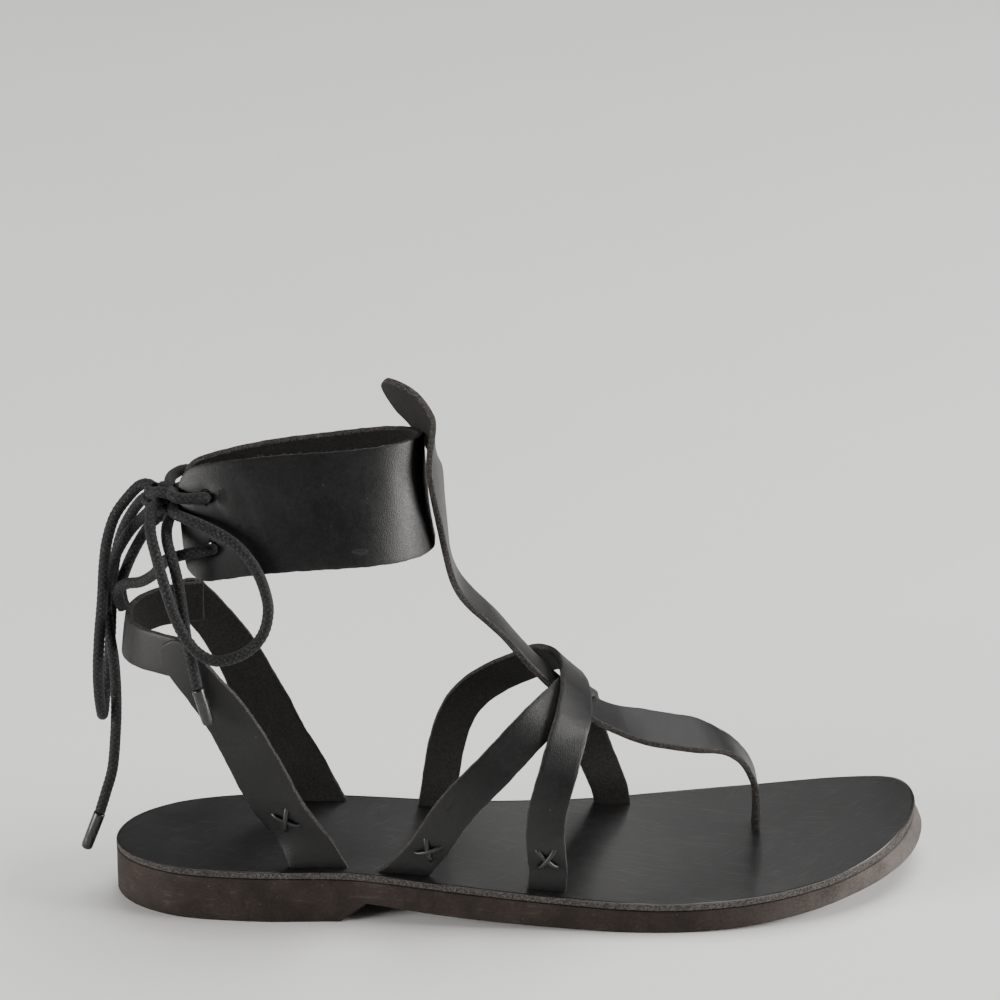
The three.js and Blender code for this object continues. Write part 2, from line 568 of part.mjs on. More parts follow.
// The cuff with its four lace holes
const CUFF_ENDS = [CUFF_CORNER, CUFF_CORNER];
const cuff = strap({ rows: CUFF, width: CUFF_WIDTH, steps: 44, ends: CUFF_ENDS, columns: 6 });
let cuffBody = cuff.body;
for (const distance of [HOLE_FROM_END, cuff.length - HOLE_FROM_END]) {
  for (const offset of [-HOLE_SPREAD, HOLE_SPREAD]) {
    const { place, face } = cuff.spot(distance, offset);
    const punch = new THREE.CylinderGeometry(HOLE_DIAMETER / 2, HOLE_DIAMETER / 2, 3 * STRAP_WALL, 14);
    punch.applyQuaternion(new THREE.Quaternion().setFromUnitVectors(point(0, 1, 0), face));
    punch.translate(...place.toArray());
    cuffBody = cuffBody.subtract(solid(punch));
  }
}

const LEATHER = { color: 0x17161a, roughness: 0.48, metalness: 0 };
const RUBBER = { color: 0x2a2626, roughness: 0.85, metalness: 0 };
const BRAID = { color: 0x0e0e10, roughness: 0.8, metalness: 0 };
const AGLET = { color: 0x111111, roughness: 0.25, metalness: 0 };

const group = new THREE.Group();
function add(name, geometry, finish) {
  geometry.computeVertexNormals();
  const mesh = new THREE.Mesh(geometry, new THREE.MeshStandardMaterial(finish));
  mesh.name = name;
  group.add(mesh);
}

add("outsole", geometryOf(outsole), RUBBER);
add("footbed", geometryOf(footbed), LEATHER);
Object.entries(straps).forEach(([name, body]) => add(name, geometryOf(body), LEATHER));
add("ankle_cuff", geometryOf(cuffBody), LEATHER);
add("lace_lower_bars", geometryOf(solid(cord(STEM_LATERAL, 14)).add(solid(cord(STEM_MEDIAL, 14)))), BRAID);
add("lace_top_bar_lateral", cord(TOP_LATERAL, 6), BRAID);
add("lace_top_bar_medial", cord(TOP_MEDIAL, 6), BRAID);
const knot = new THREE.SphereGeometry(1, 12, 8);
knot.scale(...KNOT_RADII);
knot.translate(...KNOT.toArray());
add("lace_knot", geometryOf(solid(knot)), BRAID);
add("lace_loop_lateral", cord(LOOP_LATERAL, 30), BRAID);
add("lace_loop_medial", cord(LOOP_MEDIAL, 34), BRAID);
add("lace_end_lateral", cord(END_LATERAL, 12), BRAID);
add("lace_end_medial", cord(END_MEDIAL, 24), BRAID);
add("lace_aglet_lateral", aglet(END_LATERAL, AGLET_LATERAL_TIP), AGLET);
add("lace_aglet_medial", aglet(END_MEDIAL, AGLET_MEDIAL_TIP), AGLET);

export default group;
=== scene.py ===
"""Dresses a right-foot wrap sandal: its leather straps, footbed, sole and tied lace.

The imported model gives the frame. Every form here is worked out from the shoe's own sizes, in
millimetres, by the same routes as the solids, and is put into the scene in metres.
"""

import logging
import math
from dataclasses import dataclass
from enum import Enum
from typing import Callable, NamedTuple, Optional, Sequence, Union

import bpy
import numpy as np
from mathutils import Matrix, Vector


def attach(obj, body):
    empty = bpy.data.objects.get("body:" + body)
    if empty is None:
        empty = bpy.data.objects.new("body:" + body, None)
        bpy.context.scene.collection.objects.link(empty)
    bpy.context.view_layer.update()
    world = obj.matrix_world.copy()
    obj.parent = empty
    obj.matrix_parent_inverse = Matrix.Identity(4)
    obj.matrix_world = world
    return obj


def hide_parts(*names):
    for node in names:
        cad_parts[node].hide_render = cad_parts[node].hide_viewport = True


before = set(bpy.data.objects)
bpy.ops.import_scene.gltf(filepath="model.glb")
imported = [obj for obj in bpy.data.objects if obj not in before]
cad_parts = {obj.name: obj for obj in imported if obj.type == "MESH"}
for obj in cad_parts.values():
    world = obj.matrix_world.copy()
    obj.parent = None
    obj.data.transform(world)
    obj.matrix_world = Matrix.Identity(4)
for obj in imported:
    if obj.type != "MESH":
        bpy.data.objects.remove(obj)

log = logging.getLogger("wrap_sandal")

MM = 0.001
SEED = 7
Array = np.ndarray


class Side(Enum):
    """A side of the shoe, as the sign of its Y."""

    LATERAL = -1
    MEDIAL = 1


@dataclass(frozen=True)
class ShoeSizes:
    """Main sizes of the shoe, in millimetres."""

    length: float = 280.0
    ball_width: float = 92.0
    instep_height: float = 80.0
    cuff_height: float = 148.0
    cuff_up: float = 1.85
    heel_height: float = 16.0
    outsole_wall: float = 8.0
    toe_wall: float = 6.8
    toe_spring: float = 10.4
    toe_flare: float = 3.0
    arch_lift: float = 7.0
    heel_seat: float = 77.0
    breast_slant: float = 9.0
    footbed_wall: float = 2.3
    seam: float = 0.3
    strap_wall: float = 2.3
    strap_inset: float = 4.0
    lace: float = 3.8
    aglet: float = 4.2

    @property
    def layer(self) -> float:
        """Rise of one strap that lies over another."""
        return self.strap_wall + self.seam

    def height_of(self, up: Array) -> Array:
        """Height of an `up` share: part of the instep up to 1, and up the shaft above it.

        Args:
            up: Shares of the instep height.

        Returns:
            Heights above the floor.
        """
        shaft = (self.cuff_height - self.instep_height) / (self.cuff_up - 1)
        return np.minimum(up, 1) * self.instep_height + np.maximum(np.asarray(up) - 1, 0) * shaft


SIZES = ShoeSizes()

# Outline of the sole: shares of the length along, shares of the ball width to the side
OUTLINE = (
    (0, 0.0), (0.017, -0.14), (0.07, -0.266), (0.17, -0.332), (0.29, -0.351), (0.41, -0.411),
    (0.54, -0.453), (0.68, -0.49), (0.8, -0.453), (0.9, -0.322), (0.97, -0.084), (1, 0.211),
    (0.985, 0.395), (0.92, 0.485), (0.8, 0.517), (0.7, 0.504), (0.56, 0.422), (0.42, 0.348),
    (0.3, 0.343), (0.17, 0.364), (0.07, 0.3), (0.017, 0.169),
)


class LastRow(NamedTuple):
    """One section of the last, an oval in a plane that leans back."""

    along: float
    up: float
    lean: float
    over: float
    under: float
    lateral: float
    medial: float
    round: float


LAST = (
    LastRow(0.83, 0.34, 0, 0.15, 0.17, 0.422, 0.401, 2.3),
    LastRow(0.72, 0.36, 0, 0.265, 0.2, 0.464, 0.432, 2.2),
    LastRow(0.6, 0.38, 8, 0.345, 0.22, 0.443, 0.401, 2.1),
    LastRow(0.49, 0.43, 22, 0.5, 0.3, 0.411, 0.369, 2.1),
    LastRow(0.34, 0.68, 40, 0.68, 0.58, 0.358, 0.337, 2.2),
    LastRow(0.275, 1.1, 60, 0.555, 0.925, 0.327, 0.316, 2.3),
    LastRow(0.245, 1.61, 80, 0.49, 0.72, 0.316, 0.295, 2.4),
    LastRow(0.236, 2.09, 86, 0.49, 0.47, 0.137, 0.074, 2.4),
)


class Foot(NamedTuple):
    """A place where a strap stands in the footbed, near its edge."""

    side: Side
    along: float
    rise: float
    width: Optional[float] = None


class Post(NamedTuple):
    """A place of the thong post between the toes."""

    along: float
    side: float
    rise: float
    width: Optional[float] = None


class On(NamedTuple):
    """A place on the last: section, degrees from the ridge, and the layers underneath.

    Where it doesn't hug the last, roll tips its face to the lateral side, in degrees.
    """

    at: float
    turn: float
    layer: float = 0.0
    hug: float = 1.0
    width: Optional[float] = None
    roll: float = 0.0


class Free(NamedTuple):
    """A place off the last, ahead of its top, with the way the strap faces."""

    ahead: float
    side: float
    up: float
    face: tuple[float, float, float]
    width: Optional[float] = None


Row = Union[Foot, Post, On, Free]
LAT, MED = Side.LATERAL, Side.MEDIAL

INSTEP_OVER: tuple[Row, ...] = (
    Foot(LAT, 0.518, -0.075), Foot(LAT, 0.526, 0.062), On(2.8, -80), On(2.85, -55, 1),
    On(3.0, -28, 1.95), On(3.1, -8, 2.15), On(3.17, 12, 2.28), On(3.22, 22, 2.2),
    On(3.3, 38, 0.8), On(3.5, 70), Foot(MED, 0.4, 0.062), Foot(MED, 0.395, -0.075),
)
INSTEP_UNDER: tuple[Row, ...] = (
    Foot(LAT, 0.33, -0.075), Foot(LAT, 0.368, 0.062), On(3.5, -90), On(3.384, -59),
    On(3.2, -30, 0.7), On(3.05, -14, 1), On(2.8, 15, 1.28), On(2.4, 45, 0.3), On(2.1, 80),
    Foot(MED, 0.62, 0.062), Foot(MED, 0.625, -0.075),
)
POST_WIDTH = 8.0
TOE_STRAP: tuple[Row, ...] = (
    Post(0.791, 0.142, -0.075, POST_WIDTH), Post(0.793, 0.142, 0.075, POST_WIDTH),
    Post(0.788, 0.137, 0.238, 1.1 * POST_WIDTH), On(0.76, 10, hug=0, width=14.06, roll=10),
    On(1.1, 6, hug=0, roll=14), On(1.6, 3, hug=0, roll=14), On(2.2, 2, hug=0.4, roll=10),
    On(2.8, 2), On(3.4, 2), On(4.0, 1, hug=0.4), On(4.6, 0, 0.1, 0), On(5.1, 0, 0.5, 0),
    On(5.5, -3, 1.1, 0), On(6.0, -6, 1.8, 0.3), On(6.45, -6, 1.8, 0.3),
    Free(0.51, 0.01, 2.08, (0.9, 0.35, 0.1)), Free(0.44, 0.032, 2.16, (0.7, 0.55, 0.4)),
    Free(0.34, 0.058, 2.25, (0.46, 0.48, 0.75)),
)
BACK_BAND: tuple[Row, ...] = (
    On(5.52, -150), On(5.6, -163), On(5.63, -180), On(5.6, -197), On(5.52, -210),
)
CUFF: tuple[Row, ...] = tuple(On(at, turn, hug=0.4) for at, turn in (
    (6.33, -157), (6.37, -140), (6.38, -110), (6.36, -70), (6.32, -35), (6.26, 0),
    (6.26, 35), (6.27, 70), (6.27, 110), (6.25, 138), (6.22, 157),
))


def heel_strap_rows(side: Side) -> tuple[Row, ...]:
    """Rows of a side strap of the heel.

    Args:
        side: The side of the shoe that it climbs.

    Returns:
        The strap's rows, from its foot to its rounded top.
    """
    climb = ((4.35, 147, 0, 0.5, 18.0), (4.62, 145, 0, 1, 18.0), (4.88, 145, 0, 1, 17.0),
             (5.14, 148, 0.5, 1, 16.0), (5.4, 153.5, 1.05, 1, 14.5), (5.64, 159, 1, 1, 13.5))
    feet = (Foot(side, 0.2615, -0.075), Foot(side, 0.2425, 0.05))
    return feet + tuple(On(at, side.value * turn, layer, hug, width)
                        for at, turn, layer, hug, width in climb)


# The lace's routes, in millimetres, by the same points as in the solids
KNOT = (23.2, -8, 147.6)
STEM_LATERAL = (
    (5.7, -2.4, 104), (4.6, -3, 107), (4.4, -4.4, 111.7), (7.3, -7, 114.8), (12.2, -11, 117),
    (16.9, -16, 121.4), (20, -21, 126.6), (22.6, -26.5, 131), (27.6, -29, 133.2), (34.6, -30.4, 134.2),
)
STEM_MEDIAL = (
    (5.9, 0.4, 104), (5.1, 1.4, 107), (4.8, 4, 110.4), (6.8, 7, 115.9), (10.1, 12, 121.5),
    (14.4, 18, 126.5), (19.7, 24.4, 128.6), (26, 28.4, 130), (33.6, 30, 130.6),
)
TOP_LATERAL = ((23.7, -14, 149.8), (25, -19.6, 150), (29.6, -20.6, 149.6), (35, -23.6, 149.2))
TOP_MEDIAL = (
    (22.8, -2, 147.4), (22.2, 6, 146.6), (23.2, 14, 146), (27, 19.8, 145.6), (33.6, 22.8, 145),
)
LOOP_LATERAL = (
    (24, -13.8, 145), (24.7, -20.3, 144.6), (28.6, -25, 144.4), (33, -27, 143.2), (38.3, -28.6, 141),
    (42.2, -30, 139), (45.8, -31.4, 136.4), (49, -32.8, 133), (51.8, -34, 128.8), (54, -35, 123.2),
    (55.2, -35.8, 116), (53.3, -36.6, 107.9), (49, -37.4, 102.9), (43, -38, 100), (37.1, -38.4, 99.5),
    (32, -38.4, 102.4), (28, -38.8, 107.9), (24.8, -38.8, 115.4), (22, -37.8, 125), (19.4, -33.8, 133.6),
    (17.2, -27, 141), (17.6, -19, 145.4), (19.6, -14.2, 146.6),
)
END_LATERAL = (
    (23.2, -10.8, 141.2), (22.6, -16, 140.4), (22.2, -22.6, 139.4), (22.8, -29, 137),
    (24.6, -33.2, 132), (26.2, -34.4, 124), (27.3, -34.6, 113.7), (28.4, -34.8, 103.9),
    (30, -34.8, 95.2), (31.2, -34.8, 88.4),
)
LOOP_MEDIAL = (
    (17.8, -8.8, 149.6), (15.6, -7, 150.2), (13, -5.8, 149.3), (8.9, -5, 145), (4.4, -5, 138.7),
    (1.4, -5, 129.9), (0.1, -5, 122), (-1.1, -5, 108.4), (-2.7, -5, 94), (-3.5, -5, 82.3),
    (-3.5, -4.4, 74), (-3.2, -1, 66), (-3.1, 2.6, 63.4), (-2.9, 6.2, 64), (-2.4, 9.6, 69),
    (-1.2, 10.2, 77), (-0.1, 10.2, 87.7), (1, 10.2, 102.4), (2.6, 10, 116.9), (6.2, 8.2, 129.4),
    (12.4, 3.4, 140.4), (17.8, -3, 145.8),
)
END_MEDIAL = (
    (18.6, -8, 143.8), (14.5, -4, 138.5), (8.7, 0, 131.1), (3.6, 2, 122), (0.6, 2.4, 113.4),
    (-0.4, 2.4, 105.6), (0, 2.4, 96), (1.4, 2.4, 84), (1.7, 2.4, 68.7), (0.9, 2.4, 55.4),
    (-0.6, 2, 42.9), (-3, 1.4, 34.9), (-5.3, 1, 27.6),
)
AGLET_LATERAL_TIP = (34.6, -34.8, 75.4)
AGLET_MEDIAL_TIP = (-10.6, 0.6, 14.2)


def unit(vectors: Array) -> Array:
    """Vectors of the same directions, one long."""
    return vectors / np.maximum(np.linalg.norm(vectors, axis=-1, keepdims=True), 1e-12)


def smooth_step(x: Array, start: float, end: float) -> Array:
    """A smooth rise from 0 at start to 1 at end."""
    t = np.clip((np.asarray(x, float) - start) / (end - start), 0, 1)
    return t * t * (3 - 2 * t)


def ease(t: Array) -> Array:
    """A smooth rise from 0 to 1 over one row."""
    return t * t * (3 - 2 * t)


class Curve:
    """A centripetal curve through points, sampled finely and read by distance."""

    SAMPLES = 60

    def __init__(self, points: Sequence[Sequence[float]], closed: bool = False) -> None:
        """Samples the curve.

        Args:
            points: The points that it passes through.
            closed: Whether it comes back to its first point.
        """
        knots = np.asarray(points, float)
        if closed:
            padded = np.vstack([knots[-1:], knots, knots[:2]])
        else:
            padded = np.vstack([2 * knots[0] - knots[1], knots, 2 * knots[-1] - knots[-2]])
        t = np.linspace(0, 1, self.SAMPLES, endpoint=False)[:, None]
        parts, rows = [], []
        for k in range(len(padded) - 3):
            p0, p1, p2, p3 = padded[k:k + 4]
            d0, d1, d2 = (max(np.linalg.norm(b - a) ** 0.5, 1e-4)
                          for a, b in ((p0, p1), (p1, p2), (p2, p3)))
            m1 = ((p1 - p0) / d0 - (p2 - p0) / (d0 + d1) + (p2 - p1) / d1) * d1
            m2 = ((p2 - p1) / d1 - (p3 - p1) / (d1 + d2) + (p3 - p2) / d2) * d1
            cubic = 2 * p1 - 2 * p2 + m1 + m2
            square = -3 * p1 + 3 * p2 - 2 * m1 - m2
            parts.append(p1 + m1 * t + square * t ** 2 + cubic * t ** 3)
            rows.append(k + t[:, 0])
        parts.append(padded[-2:-1])
        rows.append(np.array([len(padded) - 3.0]))
        self.points = np.vstack(parts)
        self.rows = np.concatenate(rows)
        steps = np.linalg.norm(np.diff(self.points, axis=0), axis=1)
        self.distances = np.concatenate([[0], np.cumsum(steps)])
        self.length = float(self.distances[-1])

    def at(self, distance: Array) -> Array:
        """Points at distances along the curve."""
        return np.stack([np.interp(distance, self.distances, self.points[:, k])
                         for k in range(self.points.shape[1])], axis=-1)

    def tangent(self, distance: Array) -> Array:
        """Directions at distances along the curve."""
        step = self.length * 1e-3
        ahead = self.at(np.minimum(distance + step, self.length))
        return unit(ahead - self.at(np.maximum(distance - step, 0)))

    def row(self, distance: Array) -> Array:
        """Real-valued row numbers at distances along the curve."""
        return np.interp(distance, self.distances, self.rows)


def settle(places: Array, reach: float) -> Array:
    """A smooth line through places, each fitted to its neighbours.

    Args:
        places: Points in order.
        reach: Distance over which neighbours count.

    Returns:
        As many points, with small sideways swings taken out and long bends kept.
    """
    along = np.concatenate([[0], np.cumsum(np.linalg.norm(np.diff(places, axis=0), axis=1))])
    gap = (along[None] - along[:, None]) / reach
    weight = np.exp(-0.5 * gap ** 2)
    m = [(weight * gap ** k).sum(1) for k in range(5)]
    v = [(weight * gap ** k) @ places for k in range(3)]
    minors = (m[2] * m[4] - m[3] ** 2, m[2] * m[3] - m[1] * m[4], m[1] * m[3] - m[2] ** 2)
    total = sum(m[k] * minors[k] for k in range(3))
    return sum(v[k] * minors[k][:, None] for k in range(3)) / total[:, None]


class Last:
    """The last that the straps are shaped on: smooth ovals in planes that lean back."""

    SKIN_STEP = 0.02
    HALVINGS = 30

    def __init__(self, sizes: ShoeSizes) -> None:
        """Keeps the sizes and the table's columns."""
        self.sizes = sizes
        self.table = {name: np.array([getattr(row, name) for row in LAST], float)
                      for name in LastRow._fields}

    def column(self, name: str, row: Array) -> Array:
        """Values of one column at real-valued rows, as a smooth curve through the rows.

        Args:
            name: The column.
            row: Real-valued row numbers.

        Returns:
            One value for each row number.
        """
        values = self.table[name]
        final = len(values) - 1
        index = np.clip(np.floor(row), 0, final - 1).astype(int)
        p0, p1, p2, p3 = (values[np.clip(index + k, 0, final)] for k in (-1, 0, 1, 2))
        t = row - index
        return (p1 + (p2 - p1) * ease(t) + (p2 - p0) / 2 * t * (1 - t) ** 2
                - (p3 - p1) / 2 * t * t * (1 - t))

    def frame_at(self, at: Array) -> tuple[Array, Array, Array]:
        """Centre, direction over the foot and direction up the spine of sections."""
        lean = np.radians(self.column("lean", at))
        zero = np.zeros_like(lean)
        along = self.column("along", at) * self.sizes.length
        height = self.sizes.height_of(self.column("up", at))
        centre = np.stack([along, zero, height], -1)
        over = np.stack([np.sin(lean), zero, np.cos(lean)], -1)
        spine = np.stack([-np.cos(lean), zero, np.sin(lean)], -1)
        return centre, over, spine

    def surface(self, at: Array, turn: Array) -> Array:
        """Points of the form.

        Args:
            at: Real-valued sections.
            turn: Radians from the ridge, lateral negative.

        Returns:
            Points of its skin.
        """
        centre, over, _ = self.frame_at(at)
        cos, sin = np.cos(turn), np.sin(turn)
        high = np.where(cos > 0, self.column("over", at), self.column("under", at))
        wide = np.where(sin < 0, self.column("lateral", at), self.column("medial", at))
        power = self.column("round", at)
        total = (np.abs(cos / (high * self.sizes.instep_height)) ** power
                 + np.abs(sin / (wide * self.sizes.ball_width)) ** power)
        radius = total ** (-1 / power)
        side = np.stack([np.zeros_like(sin), sin, np.zeros_like(sin)], -1)
        return centre + (over * cos[..., None] + side) * radius[..., None]

    def normal(self, at: Array, turn: Array) -> Array:
        """Outward directions of the form's skin."""
        step = self.SKIN_STEP
        spine = self.surface(at + step, turn) - self.surface(at - step, turn)
        around = self.surface(at, turn + step) - self.surface(at, turn - step)
        return -unit(np.cross(spine, around))

    def locate(self, target: Array) -> tuple[Array, Array]:
        """Sections and turns whose planes hold points of space."""
        low = np.full(target.shape[:-1], -0.5)
        high = np.full(target.shape[:-1], len(LAST) - 0.5)
        for _ in range(self.HALVINGS):
            middle = (low + high) / 2
            centre, _, spine = self.frame_at(middle)
            ahead = ((target - centre) * spine).sum(-1) > 0
            low, high = np.where(ahead, middle, low), np.where(ahead, high, middle)
        at = (low + high) / 2
        centre, over, _ = self.frame_at(at)
        offset = target - centre
        return at, np.arctan2(offset[..., 1], (offset * over).sum(-1))


class SoleForm:
    """Outline and side profile of the sole."""

    SHANK_END = 0.62
    SPRING_FROM = 0.68
    SPRING_POWER = 1.7
    ARCH_POWER = 1.5
    DROP_LEAD = 0.05
    DROP_END = 0.67

    def __init__(self, sizes: ShoeSizes) -> None:
        """Samples the outline once."""
        self.sizes = sizes
        plan = [(along * sizes.length, side * sizes.ball_width) for along, side in OUTLINE]
        self.rim = Curve(plan, closed=True)
        self.shank_end = self.SHANK_END * sizes.length
        self.spring_from = self.SPRING_FROM * sizes.length

    def edge(self, x: Array, side: Side) -> Array:
        """Y of the outline on one side at places along it."""
        points = self.rim.points
        toe = int(np.argmax(points[:, 0]))
        half = points[:toe + 1] if side is Side.LATERAL else points[toe:][::-1]
        order = np.argsort(half[:, 0])
        return np.interp(x, half[order, 0], half[order, 1])

    def spring(self, x: Array) -> Array:
        """Lift of the toe off the floor."""
        share = np.maximum(0, x - self.spring_from) / (self.sizes.length - self.spring_from)
        return self.sizes.toe_spring * share ** self.SPRING_POWER

    def bottom(self, x: Array) -> Array:
        """Height of the sole's underside: heel, slanted breast, arch, flat ball and toe."""
        s = self.sizes
        arch_from = s.heel_seat + s.breast_slant
        fade = np.clip((self.shank_end - x) / (self.shank_end - arch_from), 0, 1)
        arch = s.arch_lift * fade ** self.ARCH_POWER
        breast = s.arch_lift * np.clip((x - s.heel_seat) / s.breast_slant, 0, 1)
        return np.where(x < arch_from, breast, arch) + self.spring(x)

    def top(self, x: Array) -> Array:
        """Height of the outsole's top."""
        s = self.sizes
        wall = s.outsole_wall + (s.toe_wall - s.outsole_wall) * smooth_step(x, self.spring_from, s.length)
        drop = smooth_step(x, s.heel_seat - self.DROP_LEAD * s.length, self.DROP_END * s.length)
        return s.heel_height + (wall - s.heel_height) * drop + self.spring(x)

    def footbed_bottom(self, x: Array) -> Array:
        """Height of the footbed's underside."""
        return self.top(x) + self.sizes.seam

    def footbed_top(self, x: Array) -> Array:
        """Height of the footbed's top."""
        return self.footbed_bottom(x) + self.sizes.footbed_wall


LAST_FORM = Last(SIZES)
SOLE_FORM = SoleForm(SIZES)


def ripple(place: Array, scale: float, seed: float = 0.0) -> Array:
    """A smooth even ripple of mixed waves, between about -1 and 1.

    Args:
        place: Distances or points, the last axis being coordinates if it has two axes.
        scale: Length of the main wave, in the same units.
        seed: Shifts the waves.

    Returns:
        One value for each place.
    """
    flat = place if place.ndim == 1 else place @ np.array([1.0, 0.83, 1.17])[:place.shape[-1]]
    phase = flat / scale * 2 * math.pi
    return (np.sin(phase + seed) + 0.6 * np.sin(1.73 * phase + 2.1 * seed + 1)
            + 0.4 * np.sin(3.1 * phase + 3.7 * seed + 2)) / 2


def put_in_scene(name: str, data: bpy.types.ID) -> bpy.types.Object:
    """Puts a mesh, lamp or camera into the scene as an object."""
    item = bpy.data.objects.new(name, data)
    bpy.context.scene.collection.objects.link(item)
    return item


def new_mesh(name: str, vertices: Array, faces: Sequence[Sequence[int]],
             values: dict[str, Array]) -> bpy.types.Mesh:
    """Makes a mesh with named values at its corners.

    Args:
        name: The mesh's name.
        vertices: Corners, in millimetres.
        faces: Corner numbers of each face.
        values: Named values of the corners, read by the materials.

    Returns:
        The new mesh, in metres.
    """
    mesh = bpy.data.meshes.new(name)
    mesh.from_pydata((np.asarray(vertices) * MM).tolist(), [], faces)
    for key, numbers in values.items():
        layer = mesh.attributes.new(key, "FLOAT", "POINT")
        layer.data.foreach_set("value", np.asarray(numbers, np.float32))
    return mesh


def new_piece(name: str, vertices: Array, faces: Sequence[Sequence[int]],
              values: dict[str, Array], material: bpy.types.Material) -> bpy.types.Object:
    """Puts a mesh into the scene as a piece that rides on the shoe.

    Args:
        name: The piece's name.
        vertices: Corners, in millimetres.
        faces: Corner numbers of each face.
        values: Named values of the corners, read by the materials.
        material: The piece's finish.

    Returns:
        The new object.
    """
    mesh = new_mesh(name, vertices, faces, values)
    mesh.materials.append(material)
    mesh.polygons.foreach_set("use_smooth", [True] * len(mesh.polygons))
    mesh.update()
    piece = put_in_scene(name, mesh)
    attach(piece, "root")
    log.info("piece %s, %d corners", name, len(mesh.vertices))
    return piece


def ring_faces(rings: int, around: int, caps: bool = True, closed: bool = False) -> list[list[int]]:
    """Faces of a tube made of rings.

    Args:
        rings: How many rings.
        around: Corners of a ring.
        caps: Whether both ends are closed.
        closed: Whether the last ring joins the first.

    Returns:
        Corner numbers of each face.
    """
    faces = []
    for s in range(rings if closed else rings - 1):
        near, far = s * around, (s + 1) % rings * around
        for k in range(around):
            n = (k + 1) % around
            faces.append([near + k, near + n, far + n, far + k])
    if caps and not closed:
        faces.append(list(range(around))[::-1])
        faces.append([(rings - 1) * around + k for k in range(around)])
    return faces


class Sheet:
    """A node tree being filled in, with short calls for its nodes and links."""

    def __init__(self, tree: bpy.types.NodeTree) -> None:
        """Keeps the tree."""
        self.tree = tree

    def add(self, kind: str, inputs: Optional[dict] = None, **settings: object) -> bpy.types.Node:
        """Adds a node.

        Args:
            kind: The node's type name without its ShaderNode prefix.
            inputs: Input names or numbers, each with a value or a socket to link.
            settings: The node's own settings.

        Returns:
            The new node.
        """
        node = self.tree.nodes.new("ShaderNode" + kind)
        for key, value in settings.items():
            setattr(node, key, value)
        for key, value in (inputs or {}).items():
            if isinstance(value, bpy.types.NodeSocket):
                self.tree.links.new(value, node.inputs[key])
            else:
                node.inputs[key].default_value = value
        return node

    def maths(self, operation: str, *values: object, clamp: bool = False) -> bpy.types.NodeSocket:
        """Adds a Math node and returns its output."""
        node = self.add("Math", dict(enumerate(values)), operation=operation, use_clamp=clamp)
        return node.outputs[0]

    def blend(self, share: object, first: object, second: object) -> bpy.types.NodeSocket:
        """Mixes two colours and returns the result."""
        return self.add("Mix", {0: share, 6: first, 7: second}, data_type="RGBA").outputs[2]

    def span(self, value: object, low: float, high: float, out_low: float = 0.0,
             out_high: float = 1.0) -> bpy.types.NodeSocket:
        """Maps a value from one range to another, smoothly and held at both ends."""
        node = self.add("MapRange", {"Value": value, "From Min": low, "From Max": high,
                                     "To Min": out_low, "To Max": out_high},
                        interpolation_type="SMOOTHSTEP")
        return node.outputs[0]

    def noise(self, vector: object, scale: float, detail: float = 3.0,
              roughness: float = 0.55) -> bpy.types.NodeSocket:
        """Adds a noise texture and returns its value."""
        node = self.add("TexNoise", {"Scale": scale, "Detail": detail, "Roughness": roughness,
                                     "Vector": vector})
        return node.outputs["Fac"]

    def place(self, stretch: tuple[float, float, float] = (1, 1, 1)) -> bpy.types.NodeSocket:
        """The piece's own coordinates, in metres, stretched."""
        where = self.add("TexCoord").outputs["Object"]
        if stretch == (1, 1, 1):
            return where
        return self.add("Mapping", {"Vector": where, "Scale": stretch}).outputs[0]

    def attribute(self, name: str) -> bpy.types.NodeSocket:
        """A named value of the mesh's corners."""
        return self.add("Attribute", attribute_name=name).outputs["Fac"]


Rgb = tuple[float, float, float]


def rgba(colour: Rgb) -> tuple[float, float, float, float]:
    """A colour with full alpha."""
    return (*colour, 1.0)


